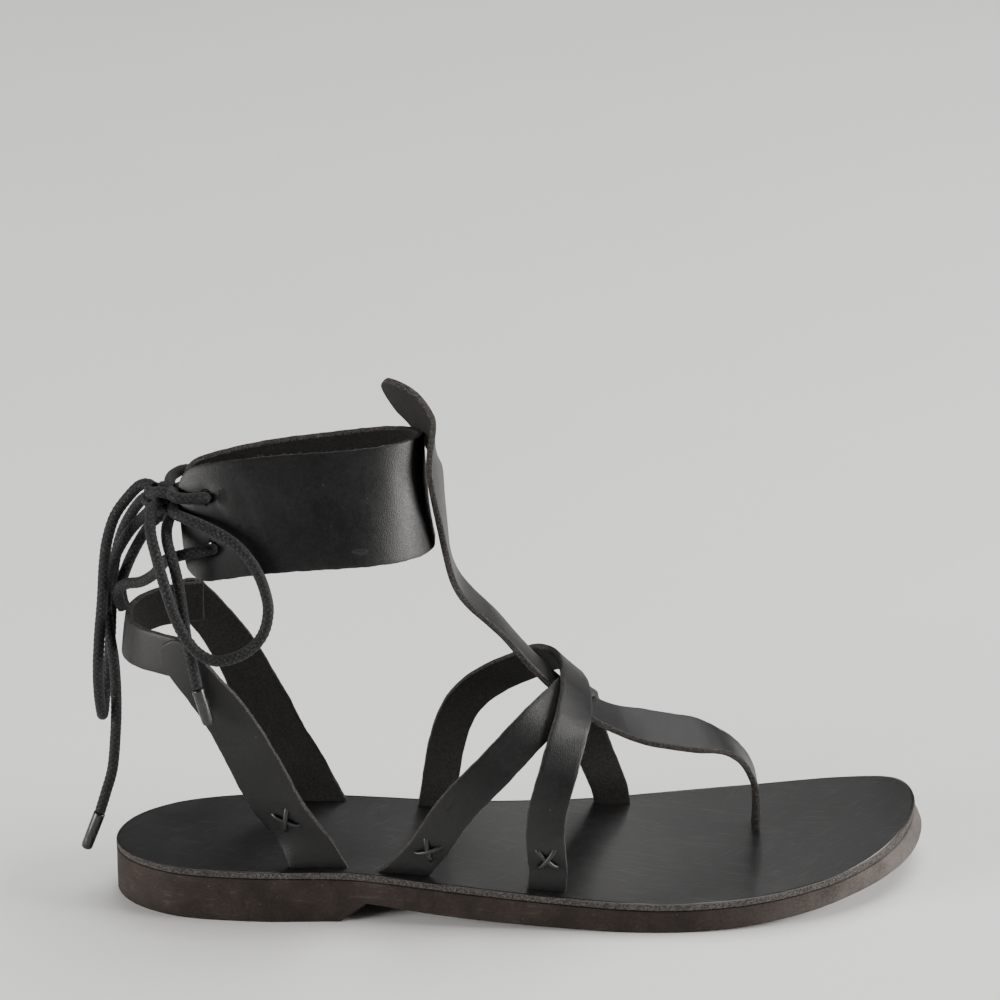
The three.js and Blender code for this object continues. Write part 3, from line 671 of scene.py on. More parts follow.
class Effects:
    """Shared surface effects, each a node group with named inputs and outputs.

    Scales count features to the metre, as Blender's textures do.
    """

    WARP_SCALE = 260.0
    WARP_REACH = 0.0012
    FURROW = 0.28
    PORE_SCALE = 620.0
    PORE_RIM = (0.05, 0.2)
    FINE_SCALE = 3200.0
    CLOUD_SCALES = (45.0, 700.0)
    FRAY_SCALE = 2400.0
    FRAY_RIM = (0.4, 0.65)
    FIBRE_SCALES = (4200.0, 1300.0)
    FIBRE_RANGE = (0.42, 0.68)
    SPECK_RIM = (0.16, 0.05)
    SPECK_CHOICE = (0.93, 0.96)
    SCRATCH_RANGE = (0.66, 0.72)
    SCRATCHES = ((0.35, (60.0, 2400.0, 60.0)), (-0.75, (90.0, 2900.0, 90.0)))

    def __init__(self) -> None:
        """Builds the groups once."""
        self.grain = self._grain()
        self.raw_edge = self._raw_edge()
        self.dust = self._dust()
        self.scratches = self._scratches()

    @staticmethod
    def _begin(name: str, inputs: dict[str, float], outputs: Sequence[str]
               ) -> tuple[bpy.types.NodeTree, Sheet, bpy.types.Node, bpy.types.Node]:
        """Starts a group.

        Args:
            name: The group's name.
            inputs: Names and starting values of its inputs.
            outputs: Names of its outputs.

        Returns:
            The tree, its sheet, and its input and output nodes.
        """
        tree = bpy.data.node_groups.new(name, "ShaderNodeTree")
        for key, value in inputs.items():
            socket = tree.interface.new_socket(key, in_out="INPUT", socket_type="NodeSocketFloat")
            socket.default_value = value
        for key in outputs:
            tree.interface.new_socket(key, in_out="OUTPUT", socket_type="NodeSocketFloat")
        return tree, Sheet(tree), tree.nodes.new("NodeGroupInput"), tree.nodes.new("NodeGroupOutput")

    def _grain(self) -> bpy.types.NodeTree:
        """Fine smooth-leather grain: small cells with pores, and cloudy tone."""
        tree, sheet, given, result = self._begin("leather_grain", {"Cells": 900.0}, ("Height", "Tone"))
        where = sheet.place()
        warp = sheet.add("TexNoise", {"Vector": where, "Scale": self.WARP_SCALE, "Detail": 2.0})
        moved = sheet.add("VectorMath", {0: where}, operation="ADD")
        nudge = sheet.add("VectorMath", {0: warp.outputs["Color"], 3: self.WARP_REACH},
                          operation="SCALE")
        tree.links.new(nudge.outputs[0], moved.inputs[1])
        cells = sheet.add("TexVoronoi", {"Vector": moved.outputs[0], "Scale": given.outputs["Cells"]},
                          feature="DISTANCE_TO_EDGE")
        plate = sheet.span(cells.outputs["Distance"], 0.0, self.FURROW)
        fine = sheet.noise(where, self.FINE_SCALE, 3.0)
        pores = sheet.add("TexVoronoi", {"Vector": where, "Scale": self.PORE_SCALE, "Randomness": 1.0})
        pit = sheet.span(pores.outputs["Distance"], *self.PORE_RIM)
        body = sheet.maths("MULTIPLY_ADD", plate, 0.55, sheet.maths("MULTIPLY", fine, 0.5))
        tree.links.new(sheet.maths("MULTIPLY", body, sheet.maths("MULTIPLY_ADD", pit, 0.4, 0.6)),
                       result.inputs["Height"])
        broad, close = self.CLOUD_SCALES
        cloud = sheet.maths("MULTIPLY_ADD", sheet.noise(where, broad, 4.0), 0.6,
                            sheet.maths("MULTIPLY", sheet.noise(where, close, 2.0), 0.4))
        tree.links.new(cloud, result.inputs["Tone"])
        return tree

    def _raw_edge(self) -> bpy.types.NodeTree:
        """A raw cut edge: fuzzy fibres that fray over its rim."""
        tree, sheet, given, result = self._begin("raw_edge", {"Edge": 0.0}, ("Mask", "Fibres"))
        where = sheet.place()
        fray = sheet.noise(where, self.FRAY_SCALE, 4.0, 0.7)
        frayed = sheet.maths("ADD", given.outputs["Edge"], sheet.maths("MULTIPLY_ADD", fray, 0.7, -0.35))
        mask = sheet.span(frayed, *self.FRAY_RIM)
        close, broad = self.FIBRE_SCALES
        fibre = sheet.maths("MULTIPLY_ADD", sheet.noise(where, close, 4.0, 0.75), 0.75,
                            sheet.maths("MULTIPLY", sheet.noise(where, broad, 2.0), 0.25))
        tree.links.new(mask, result.inputs["Mask"])
        tree.links.new(sheet.span(fibre, *self.FIBRE_RANGE), result.inputs["Fibres"])
        return tree

    def _dust(self) -> bpy.types.NodeTree:
        """Scattered fine specks of dust."""
        tree, sheet, given, result = self._begin("dust", {"Amount": 0.5, "Spacing": 400.0}, ("Mask",))
        where = sheet.place()
        specks = sheet.add("TexVoronoi", {"Vector": where, "Scale": given.outputs["Spacing"]})
        near = sheet.span(specks.outputs["Distance"], *self.SPECK_RIM)
        draw = sheet.add("SeparateColor", {"Color": specks.outputs["Color"]})
        chosen = sheet.span(draw.outputs[0], *self.SPECK_CHOICE)
        tree.links.new(sheet.maths("MULTIPLY", sheet.maths("MULTIPLY", near, chosen),
                                   given.outputs["Amount"], clamp=True), result.inputs["Mask"])
        return tree

    def _scratches(self) -> bpy.types.NodeTree:
        """Hair-fine scratches in two crossing directions."""
        tree, sheet, given, result = self._begin("scratches", {"Amount": 0.5}, ("Mask",))
        lines = []
        for turn, stretch in self.SCRATCHES:
            turned = sheet.add("Mapping", {"Vector": sheet.place(), "Rotation": (0, 0, turn)})
            longer = sheet.add("Mapping", {"Vector": turned.outputs[0], "Scale": stretch})
            lines.append(sheet.span(sheet.noise(longer.outputs[0], 1.0, 1.0), *self.SCRATCH_RANGE))
        both = sheet.maths("MAXIMUM", *lines)
        tree.links.new(sheet.maths("MULTIPLY", both, given.outputs["Amount"], clamp=True),
                       result.inputs["Mask"])
        return tree

    @staticmethod
    def use(sheet: Sheet, group: bpy.types.NodeTree, **values: object) -> bpy.types.Node:
        """Places a group in a material.

        Args:
            sheet: The material's sheet.
            group: The group.
            values: Its inputs' values or sockets.

        Returns:
            The group node.
        """
        return sheet.add("Group", values, node_tree=group)


def begin_material(name: str) -> tuple[bpy.types.Material, Sheet, bpy.types.Node]:
    """Starts a material.

    Args:
        name: Its name.

    Returns:
        The material, its sheet and its Principled shader.
    """
    material = bpy.data.materials.new(name)
    material.use_nodes = True
    shader = material.node_tree.nodes["Principled BSDF"]
    return material, Sheet(material.node_tree), shader


def finish_surface(sheet: Sheet, shader: bpy.types.Node, colour: bpy.types.NodeSocket,
                   roughness: bpy.types.NodeSocket, height: bpy.types.NodeSocket, depth: float) -> None:
    """Links colour, roughness and a bump into a shader.

    Args:
        sheet: The material's sheet.
        shader: Its Principled shader.
        colour: Colour over the surface.
        roughness: Roughness over the surface.
        height: Relief over the surface, 0 to 1.
        depth: Depth of that relief, in millimetres.
    """
    bump = sheet.add("Bump", {"Height": height, "Distance": depth * MM, "Strength": 1.0})
    sheet.tree.links.new(colour, shader.inputs["Base Color"])
    sheet.tree.links.new(roughness, shader.inputs["Roughness"])
    sheet.tree.links.new(bump.outputs[0], shader.inputs["Normal"])


RAW_ROUGHNESS = 0.92


@dataclass(frozen=True)
class StrapLeather:
    """Smooth black strap leather: grain face, rough flesh side and raw grey-brown edges."""

    face: Rgb = (0.0042, 0.004, 0.0041)
    face_light: Rgb = (0.0098, 0.0093, 0.0095)
    worn: Rgb = (0.006, 0.0057, 0.0056)
    flesh: Rgb = (0.0055, 0.0052, 0.005)
    flesh_light: Rgb = (0.03, 0.028, 0.0265)
    edge_dark: Rgb = (0.008, 0.0074, 0.007)
    edge_light: Rgb = (0.14, 0.128, 0.118)
    speck: Rgb = (0.12, 0.115, 0.11)
    cells: float = 1500.0
    speck_spacing: float = 420.0
    torn_scale: float = 1100.0
    gloss: tuple[float, float] = (0.42, 0.52)
    depth: float = 0.16
    specular: float = 0.32

    def build(self, effects: Effects) -> bpy.types.Material:
        """Makes the material."""
        material, sheet, shader = begin_material("strap_leather")
        grain = effects.use(sheet, effects.grain, Cells=self.cells)
        edge = effects.use(sheet, effects.raw_edge, Edge=sheet.attribute("edge"))
        flesh = effects.use(sheet, effects.raw_edge, Edge=sheet.attribute("flesh"))
        dust = effects.use(sheet, effects.dust, Amount=0.35, Spacing=self.speck_spacing)
        tone = sheet.span(grain.outputs["Tone"], 0.35, 0.7)
        face = sheet.blend(tone, rgba(self.face), rgba(self.face_light))
        torn = sheet.noise(sheet.place(), self.torn_scale, 3.0, 0.7)
        wear = sheet.span(sheet.maths("MULTIPLY", sheet.attribute("wear"), torn), 0.2, 0.42)
        face = sheet.blend(wear, face, rgba(self.worn))
        face = sheet.blend(dust.outputs["Mask"], face, rgba(self.speck))
        inside = sheet.blend(flesh.outputs["Fibres"], rgba(self.flesh), rgba(self.flesh_light))
        rim = sheet.blend(edge.outputs["Fibres"], rgba(self.edge_dark), rgba(self.edge_light))
        colour = sheet.blend(flesh.outputs["Mask"], face, inside)
        colour = sheet.blend(edge.outputs["Mask"], colour, rim)
        raw = sheet.maths("MAXIMUM", edge.outputs["Mask"], flesh.outputs["Mask"])
        rough = sheet.maths("MAXIMUM", raw, sheet.maths("MULTIPLY", wear, 0.7))
        smooth = sheet.span(grain.outputs["Tone"], 0.3, 0.7, *self.gloss)
        roughness = sheet.maths("MULTIPLY_ADD", rough, sheet.maths("SUBTRACT", RAW_ROUGHNESS, smooth), smooth)
        fibres = sheet.maths("MULTIPLY", raw, edge.outputs["Fibres"])
        pitted = sheet.maths("MULTIPLY_ADD", wear, sheet.maths("MULTIPLY", torn, 0.9), fibres)
        calm = sheet.maths("MULTIPLY", grain.outputs["Height"], 0.3)
        height = sheet.maths("ADD", pitted, calm)
        finish_surface(sheet, shader, colour, roughness, height, self.depth)
        shader.inputs["Specular IOR Level"].default_value = self.specular
        return material


@dataclass(frozen=True)
class FootbedLeather:
    """Smooth black insole leather, dusty and finely scratched, with a rough fuzzy edge."""

    face: Rgb = (0.0055, 0.005, 0.005)
    face_light: Rgb = (0.0125, 0.0115, 0.0115)
    mark: Rgb = (0.11, 0.106, 0.104)
    edge_dark: Rgb = (0.009, 0.0076, 0.007)
    edge_light: Rgb = (0.21, 0.185, 0.168)
    cells: float = 1300.0
    speck_spacing: float = 450.0
    gloss: tuple[float, float] = (0.31, 0.36)
    depth: float = 0.18
    specular: float = 0.4

    def build(self, effects: Effects) -> bpy.types.Material:
        """Makes the material."""
        material, sheet, shader = begin_material("footbed_leather")
        grain = effects.use(sheet, effects.grain, Cells=self.cells)
        edge = effects.use(sheet, effects.raw_edge, Edge=sheet.attribute("edge"))
        dust = effects.use(sheet, effects.dust, Amount=0.5, Spacing=self.speck_spacing)
        scratches = effects.use(sheet, effects.scratches, Amount=0.3)
        face = sheet.blend(sheet.span(grain.outputs["Tone"], 0.2, 0.85), rgba(self.face),
                           rgba(self.face_light))
        marks = sheet.maths("MAXIMUM", dust.outputs["Mask"], scratches.outputs["Mask"])
        face = sheet.blend(marks, face, rgba(self.mark))
        rim = sheet.blend(edge.outputs["Fibres"], rgba(self.edge_dark), rgba(self.edge_light))
        colour = sheet.blend(edge.outputs["Mask"], face, rim)
        smooth = sheet.span(grain.outputs["Tone"], 0.3, 0.7, *self.gloss)
        roughness = sheet.maths("MULTIPLY_ADD", edge.outputs["Mask"],
                                sheet.maths("SUBTRACT", RAW_ROUGHNESS, smooth), smooth)
        fibres = sheet.maths("MULTIPLY", edge.outputs["Mask"], edge.outputs["Fibres"])
        height = sheet.maths("MULTIPLY_ADD", grain.outputs["Height"], 0.1, fibres)
        finish_surface(sheet, shader, colour, roughness, height, self.depth)
        shader.inputs["Specular IOR Level"].default_value = self.specular
        return material


@dataclass(frozen=True)
class SoleRubber:
    """Matte dark brown-grey sole with a mottled side, made paler towards the toe by painted light."""

    dark: Rgb = (0.0135, 0.0092, 0.0074)
    light: Rgb = (0.033, 0.0238, 0.0198)
    # Pale colour for dust specks, worn streaks and the painted light at the toe.
    scuff: Rgb = (0.14, 0.124, 0.114)
    # Places along the sole, in metres, over which the painted light at the toe rises.
    toe_painted_light: tuple[float, float] = (0.19, 0.27)
    cloud_scale: float = 70.0
    fine_scale: float = 1400.0
    line_scale: float = 900.0
    gloss: tuple[float, float] = (0.62, 0.8)
    depth: float = 0.12
    specular: float = 0.2

    def build(self, effects: Effects) -> bpy.types.Material:
        """Makes the material."""
        material, sheet, shader = begin_material("sole_rubber")
        where = sheet.place()
        cloud = sheet.noise(where, self.cloud_scale, 5.0, 0.65)
        fine = sheet.noise(where, self.fine_scale, 3.0, 0.7)
        lines = sheet.noise(sheet.place((0.12, 0.12, 1.0)), self.line_scale, 3.0, 0.6)
        tone = sheet.maths("MULTIPLY_ADD", cloud, 0.55, sheet.maths("MULTIPLY", fine, 0.45))
        colour = sheet.blend(sheet.span(tone, 0.36, 0.66), rgba(self.dark), rgba(self.light))
        dust = effects.use(sheet, effects.dust, Amount=0.5, Spacing=520.0)
        worn = sheet.span(sheet.maths("MULTIPLY", lines, cloud), 0.3, 0.42, 0.0, 0.12)
        ahead = sheet.add("SeparateXYZ", {"Vector": where}).outputs["X"]
        # Painted light: the side grows paler towards the toe, as if the toe lamp lit it there.
        toe_painted_light = sheet.maths("MULTIPLY", sheet.span(ahead, *self.toe_painted_light, 0.0, 0.6),
                             sheet.span(tone, 0.2, 0.7))
        # Dust, worn streaks and the painted toe light all blend towards the pale colour.
        marks = sheet.maths("MAXIMUM", sheet.maths("MAXIMUM", dust.outputs["Mask"], worn), toe_painted_light)
        colour = sheet.blend(marks, colour, rgba(self.scuff))
        height = sheet.maths("MULTIPLY_ADD", lines, 0.5, sheet.maths("MULTIPLY", fine, 0.5))
        roughness = sheet.span(tone, 0.3, 0.7, *self.gloss)
        finish_surface(sheet, shader, colour, roughness, height, self.depth)
        shader.inputs["Specular IOR Level"].default_value = self.specular
        return material


@dataclass(frozen=True)
class BraidedCord:
    """Black braided lace: matte picks with painted highlight on their crowns and painted shade in the grooves
    between them, and bright flecks of yarn.
    """

    # dark is the painted shade of the grooves between picks, light the painted highlight on their crowns.
    dark: Rgb = (0.002, 0.002, 0.0022)
    light: Rgb = (0.024, 0.024, 0.025)
    fleck: Rgb = (0.075, 0.075, 0.075)
    speck: Rgb = (0.13, 0.13, 0.13)
    yarn_scale: float = 2600.0
    fleck_scale: float = 1900.0
    gloss: tuple[float, float] = (0.62, 0.85)
    depth: float = 0.1
    specular: float = 0.25
    sheen: float = 0.05

    def build(self, effects: Effects) -> bpy.types.Material:
        """Makes the material."""
        material, sheet, shader = begin_material("braid")
        crown = sheet.attribute("crown")
        yarn = sheet.noise(sheet.place(), self.yarn_scale, 3.0, 0.7)
        # Painted shade and highlight: darker in the grooves between picks, paler on their crowns, varied by
        # the yarn.
        tone = sheet.maths("MULTIPLY", sheet.span(crown, 0.3, 1.0), sheet.span(yarn, 0.35, 0.7, 0.15, 1.0))
        colour = sheet.blend(tone, rgba(self.dark), rgba(self.light))
        dust = effects.use(sheet, effects.dust, Amount=0.4, Spacing=700.0)
        colour = sheet.blend(dust.outputs["Mask"], colour, rgba(self.speck))
        flecks = sheet.span(sheet.noise(sheet.place(), self.fleck_scale, 2.0), 0.62, 0.7)
        colour = sheet.blend(flecks, colour, rgba(self.fleck))
        finish_surface(sheet, shader, colour, sheet.span(yarn, 0.2, 0.8, *self.gloss), yarn, self.depth)
        shader.inputs["Specular IOR Level"].default_value = self.specular
        shader.inputs["Sheen Weight"].default_value = self.sheen
        return material


@dataclass(frozen=True)
class PlainGloss:
    """A small shiny black thing: an aglet, or a waxed thread."""

    name: str
    dark: Rgb
    light: Rgb
    roughness: float
    scale: float
    speck: Rgb = (0.12, 0.12, 0.12)
    depth: float = 0.05

    def build(self, effects: Effects) -> bpy.types.Material:
        """Makes the material."""
        material, sheet, shader = begin_material(self.name)
        streak = sheet.noise(sheet.place((1.0, 1.0, 0.3)), self.scale, 3.0)
        dust = effects.use(sheet, effects.dust, Amount=0.3, Spacing=800.0)
        colour = sheet.blend(sheet.span(streak, 0.35, 0.7), rgba(self.dark), rgba(self.light))
        colour = sheet.blend(dust.outputs["Mask"], colour, rgba(self.speck))
        rough = sheet.span(streak, 0.3, 0.7, self.roughness, self.roughness + 0.14)
        finish_surface(sheet, shader, colour, rough, streak, self.depth)
        return material


@dataclass(frozen=True)
class LooseFibre:
    """The stray fibres of a raw edge."""

    dark: Rgb = (0.03, 0.027, 0.025)
    light: Rgb = (0.3, 0.28, 0.26)

    def build(self) -> bpy.types.Material:
        """Makes the material."""
        material, sheet, shader = begin_material("loose_fibre")
        tone = sheet.noise(sheet.place(), 1200.0, 2.0)
        colour = sheet.blend(sheet.span(tone, 0.35, 0.65), rgba(self.dark), rgba(self.light))
        finish_surface(sheet, shader, colour, sheet.span(tone, 0.3, 0.7, 0.75, 0.9), tone, 0.02)
        return material


class Finishes:
    """All the finishes of the shoe, built once."""

    def __init__(self) -> None:
        """Builds the shared effects, then each material."""
        effects = Effects()
        self.strap = StrapLeather().build(effects)
        self.footbed = FootbedLeather().build(effects)
        self.sole = SoleRubber().build(effects)
        self.braid = BraidedCord().build(effects)
        aglet = PlainGloss("aglet", dark=(0.006, 0.006, 0.006), light=(0.02, 0.02, 0.02),
                           roughness=0.18, scale=900.0)
        thread = PlainGloss("waxed_thread", dark=(0.0025, 0.0024, 0.0024), light=(0.016, 0.015, 0.015),
                            roughness=0.4, scale=2200.0)
        self.aglet = aglet.build(effects)
        self.thread = thread.build(effects)
        self.fibre = LooseFibre().build()


Relief = Callable[[Array, Array], Array]


class Crease(NamedTuple):
    """A soft trough across a strap's face.

    Attributes:
        along: Where it crosses the middle line, in millimetres from the strap's start.
        slant: How far along it moves for each millimetre across.
        depth: Its depth in millimetres.
        wide: Its half width in millimetres.
        centre: Where across the strap it is deepest.
        reach: How far across the strap it fades.
    """

    along: float
    slant: float
    depth: float
    wide: float
    centre: float = 0.0
    reach: float = 12.0


class Scuff(NamedTuple):
    """A worn spot of a strap's face: its place along and across, and its half sizes."""

    along: float
    across: float
    half_long: float
    half_wide: float


def creased(creases: Sequence[Crease]) -> Relief:
    """The relief of a set of soft troughs."""
    def relief(along: Array, across: Array) -> Array:
        """Height at places along and across the strap."""
        height = np.zeros_like(along)
        for crease in creases:
            gap = (along - crease.along - crease.slant * across) / crease.wide
            fade = (across - crease.centre) / crease.reach
            height -= crease.depth * np.exp(-gap ** 2 - fade ** 2)
        return height
    return relief


@dataclass
class Strap:
    """A flat ribbon of leather along a route, with rounded rims and a frayed cut edge."""

    name: str
    rows: tuple[Row, ...]
    width: float
    wall: float = SIZES.strap_wall
    start_corner: float = 0.0
    end_corner: float = 0.0
    columns: int = 10
    step: float = 1.2
    rim: float = 0.45
    wave: float = 0.1
    relief: Optional[Relief] = None
    scuffs: Sequence[Scuff] = ()
    narrowest: float = 0.6
    guide_step: float = 3.0
    settle_reach: float = 7.0
    end_pinch: float = 0.45
    ripple_length: float = 9.0
    fibres_per_mm: float = 2.6
    fibre_length: float = 1.0

    CORNER_SHARES = (0.012, 0.05, 0.12, 0.25, 0.45, 0.7, 1.0)
    RIM_SHARES = (0.25, 0.6, 1.0)
    CLOSEST = 0.04
    RIM_ANGLES = (0.5, 1.05)
    RIM_MARKS = (0.45, 0.9)
    WALL_SHARES = (0.32, 0.68)

    def __post_init__(self) -> None:
        """Works out the stations along the route."""
        self.anchors = [self._anchor(row) for row in self.rows]
        self.curve, guide_rows = self._guide()
        self.length = self.curve.length
        count = int(self.length / self.step)
        plain = np.linspace(0, self.length, count)
        extra = []
        for corner, end in ((self.start_corner, False), (self.end_corner, True)):
            near = np.array(self.CORNER_SHARES if corner else ()) * corner
            rims = np.array(self.RIM_SHARES) * self.rim
            places = np.concatenate([near, rims])
            extra.append(self.length - places if end else places)
        distances = np.unique(np.round(np.concatenate([plain, *extra]), 4))
        keep = np.concatenate([[True], np.diff(distances) > self.CLOSEST])
        self.distances = distances[keep]
        knots = self.curve.row(self.distances)
        rows = np.interp(knots, np.arange(len(guide_rows)), guide_rows)
        half = self._stand(self.curve, self.distances, rows)
        cut = self._corner(self.distances, self.start_corner)
        cut = cut + self._corner(self.length - self.distances, self.end_corner)
        self.half = np.maximum(self.narrowest, half - cut)

    @staticmethod
    def _anchor(row: Row) -> tuple[Array, Array, float, float]:
        """Place, facing, hug and layer of a row."""
        if isinstance(row, Foot):
            x = row.along * SIZES.length
            inset = SIZES.strap_inset + SIZES.strap_wall
            y = float(SOLE_FORM.edge(x, row.side)) - row.side.value * inset
            z = float(SOLE_FORM.footbed_top(x)) + row.rise * SIZES.instep_height
            return np.array([x, y, z]), np.array([0.0, row.side.value, 0.0]), 0.0, 0.0
        if isinstance(row, Post):
            x = row.along * SIZES.length
            z = float(SOLE_FORM.footbed_top(x)) + row.rise * SIZES.instep_height
            return np.array([x, row.side * SIZES.ball_width, z]), np.array([1.0, 0.0, 0.0]), 0.0, 0.0
        if isinstance(row, Free):
            top = LAST_FORM.frame_at(np.array(len(LAST) - 1.0))[0]
            x = top[0] + row.ahead * SIZES.instep_height
            place = np.array([x, row.side * SIZES.ball_width, float(SIZES.height_of(row.up))])
            return place, unit(np.array(row.face)), 0.0, 0.0
        at, turn = np.array(row.at), np.radians(np.array(float(row.turn)))
        face = LAST_FORM.normal(at, turn)
        place = LAST_FORM.surface(at, turn) + face * (SIZES.seam + row.layer * SIZES.layer)
        roll = math.radians(row.roll)
        tilted = (face[0], face[1] * math.cos(roll) - face[2] * math.sin(roll),
                  face[1] * math.sin(roll) + face[2] * math.cos(roll))
        return place, np.array(tilted), row.hug, row.layer

    def _stand(self, curve: Curve, distances: Array, rows: Array) -> Array:
        """Sets the stations on a curve: place, facing, width, hug and layer at each.

        Args:
            curve: The strap's middle line.
            distances: The stations' distances along it.
            rows: Real-valued row numbers of the stations.

        Returns:
            Half widths before the rounded ends are cut.
        """
        rows = np.clip(rows, 0, len(self.rows) - 1)
        index = np.minimum(len(self.rows) - 2, np.floor(rows)).astype(int)
        t = rows - index
        _, faces, hugs, layers = (np.array(part) for part in zip(*self.anchors))
        widths = np.array([row.width or self.width for row in self.rows])

        def mix(values: Array) -> Array:
            """Values between two rows, eased."""
            return values[index] + (values[index + 1] - values[index]) * ease(t)

        self.place = curve.at(distances)
        self.forward = curve.tangent(distances)
        self.hug, self.layer = mix(hugs), mix(layers)
        free = unit(faces[index] + (faces[index + 1] - faces[index]) * t[:, None])
        skin = LAST_FORM.normal(*LAST_FORM.locate(self.place))
        face = unit(free + (skin - free) * self.hug[:, None])
        self.across = unit(np.cross(self.forward, face))
        self.out = unit(np.cross(self.across, self.forward))
        return mix(widths) / 2

    def _guide(self) -> tuple[Curve, Array]:
        """The strap's settled middle line on the last, and the row number of each of its points."""
        rough = Curve([place for place, _, _, _ in self.anchors])
        count = max(6, round(rough.length / self.guide_step))
        distances = np.linspace(0, rough.length, count + 1)
        rows = rough.row(distances)
        self._stand(rough, distances, rows)
        flat = np.zeros((len(distances), 1))
        return Curve(settle(self.lay(flat, flat)[:, 0], self.settle_reach)), rows

    @staticmethod
    def _corner(from_end: Array, radius: float) -> Array:
        """How much a rounded corner takes off the half width."""
        if not radius:
            return np.zeros_like(from_end)
        inside = np.maximum(0, radius - from_end)
        return radius - np.sqrt(np.maximum(0, radius ** 2 - inside ** 2))

    def lay(self, offset: Array, rise: Array) -> Array:
        """Points of the strap at offsets across it and rises off the last, one row a station.

        Args:
            offset: Offsets, stations by columns.
            rise: Rises, of the same shape.

        Returns:
            Points, stations by columns by three.
        """
        stations = np.arange(len(self.place))[:, None]
        return self._hugged(stations, offset, rise)[0]

    def _hugged(self, stations: Array, offset: Array, rise: Array) -> tuple[Array, Array]:
        """Points of the strap as it hugs the last.

        Args:
            stations: Numbers of the stations.
            offset: Offsets across the strap.
            rise: Rises off the last.

        Returns:
            The points, and the ways that the strap faces there.
        """
        flat = self.place[stations] + self.across[stations] * offset[..., None]
        at, turn = LAST_FORM.locate(flat)
        skin = LAST_FORM.normal(at, turn)
        hug = self.hug[stations][..., None]
        out = self.out[stations]
        face = unit(out + (skin - out) * hug)
        lift = SIZES.seam + self.layer[stations][..., None] * SIZES.layer
        snug = LAST_FORM.surface(at, turn) + skin * lift
        return flat + (snug - flat) * hug + face * rise[..., None], face

    def _profile(self) -> tuple[Array, ...]:
        """The ring round the strap, with shares of 2 and -2 for the corners of its cut walls.

        Returns:
            Shares across, distances in from the edge, rises, edge marks and flesh marks.
        """
        r, w = self.rim, self.wall
        share = np.linspace(-1, 1, self.columns + 1)
        ring = [(s, 0.0, w, 0.0, 0.0) for s in share]
        arc = [(r * (1 - math.sin(a)), r * (1 - math.cos(a))) for a in self.RIM_ANGLES]
        face = [(inset, w - drop, mark, 0.0) for (inset, drop), mark in zip(arc, self.RIM_MARKS)]
        ring += [(2.0, *corner) for corner in face]
        ring += [(2.0, 0.0, w * s, 1.0, 0.0) for s in self.WALL_SHARES[::-1]]
        ring += [(2.0, inset, drop, 1.0, 0.5) for inset, drop in arc[::-1]]
        ring += [(s, 0.0, 0.0, 0.0, 1.0) for s in share[::-1]]
        ring += [(-2.0, inset, drop, 1.0, 0.5) for inset, drop in arc]
        ring += [(-2.0, 0.0, w * s, 1.0, 0.0) for s in self.WALL_SHARES]
        ring += [(-2.0, *corner) for corner in face[::-1]]
        return tuple(np.array(part) for part in zip(*ring))

    def corners(self) -> tuple[Array, dict[str, Array], int]:
        """Corners of the strap's mesh with their marks, and how many go round it."""
        share, inset, rise, edge, flesh = self._profile()
        swings = [ripple(self.distances, self.ripple_length, seed) for seed in (1.0, 4.0)]
        wave = self.wave * np.stack(swings, 1)
        from_end = np.minimum(self.distances, self.length - self.distances)
        pinch = np.sqrt(np.maximum(0, 1 - np.clip(from_end / self.rim, 0, 1)))[:, None]
        half = self.half[:, None]
        rim = np.where(share[None] > 0, half + wave[:, 1:], half + wave[:, :1])
        flat = np.where(np.abs(share)[None] > 1, np.sign(share)[None] * (rim - inset[None]),
                        share[None] * (rim - self.rim))
        middle = self.wall / 2
        lift = rise[None] + (middle - rise[None]) * pinch * self.end_pinch
        if self.relief is not None:
            along = np.repeat(self.distances[:, None], len(share), 1)
            lift = lift + self.relief(along, flat) * (rise[None] > middle)
        points = self.lay(flat, lift)
        floor = SOLE_FORM.footbed_bottom(points[..., 0])
        points[..., 2] = np.maximum(points[..., 2], floor)
        ends = np.clip(1 - from_end / (self.rim * 1.2), 0, 1)[:, None]
        marks = {
            "edge": np.maximum(edge[None] * np.ones_like(half), ends * np.ones_like(flat)),
            "flesh": flesh[None] * np.ones_like(flat),
            "wear": self._wear(flat),
        }
        return points.reshape(-1, 3), {k: v.ravel() for k, v in marks.items()}, len(share)

    def _wear(self, across: Array) -> Array:
        """How worn the face is at offsets across the strap, one row a station."""
        wear = np.zeros_like(across)
        for scuff in self.scuffs:
            long = (self.distances[:, None] - scuff.along) / scuff.half_long
            wide = (across - scuff.across) / scuff.half_wide
            wear = np.maximum(wear, np.exp(-long ** 2 - wide ** 2))
        return wear

    def build(self, material: bpy.types.Material) -> bpy.types.Object:
        """Makes the strap's piece, which stands for the node of its name."""
        points, marks, around = self.corners()
        faces = ring_faces(len(self.distances), around)
        piece = new_piece(self.name + "_skin", points, faces, marks, material)
        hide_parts(self.name)
        return piece

    def spot(self, distance: float, offset: float, rise: float) -> tuple[Array, Array, Array, Array]:
        """A point on the strap, with its directions across, forward and out.

        Args:
            distance: Along the strap.
            offset: Across it.
            rise: Off its inner face.

        Returns:
            The point and three unit directions.
        """
        station = int(np.argmin(np.abs(self.distances - distance)))
        grid = np.full((len(self.distances), 1), float(offset))
        point = self.lay(grid, np.full_like(grid, rise))[station, 0]
        skin = self.lay(grid, np.full_like(grid, rise + 1))[station, 0] - point
        return point, self.across[station], self.forward[station], unit(skin)

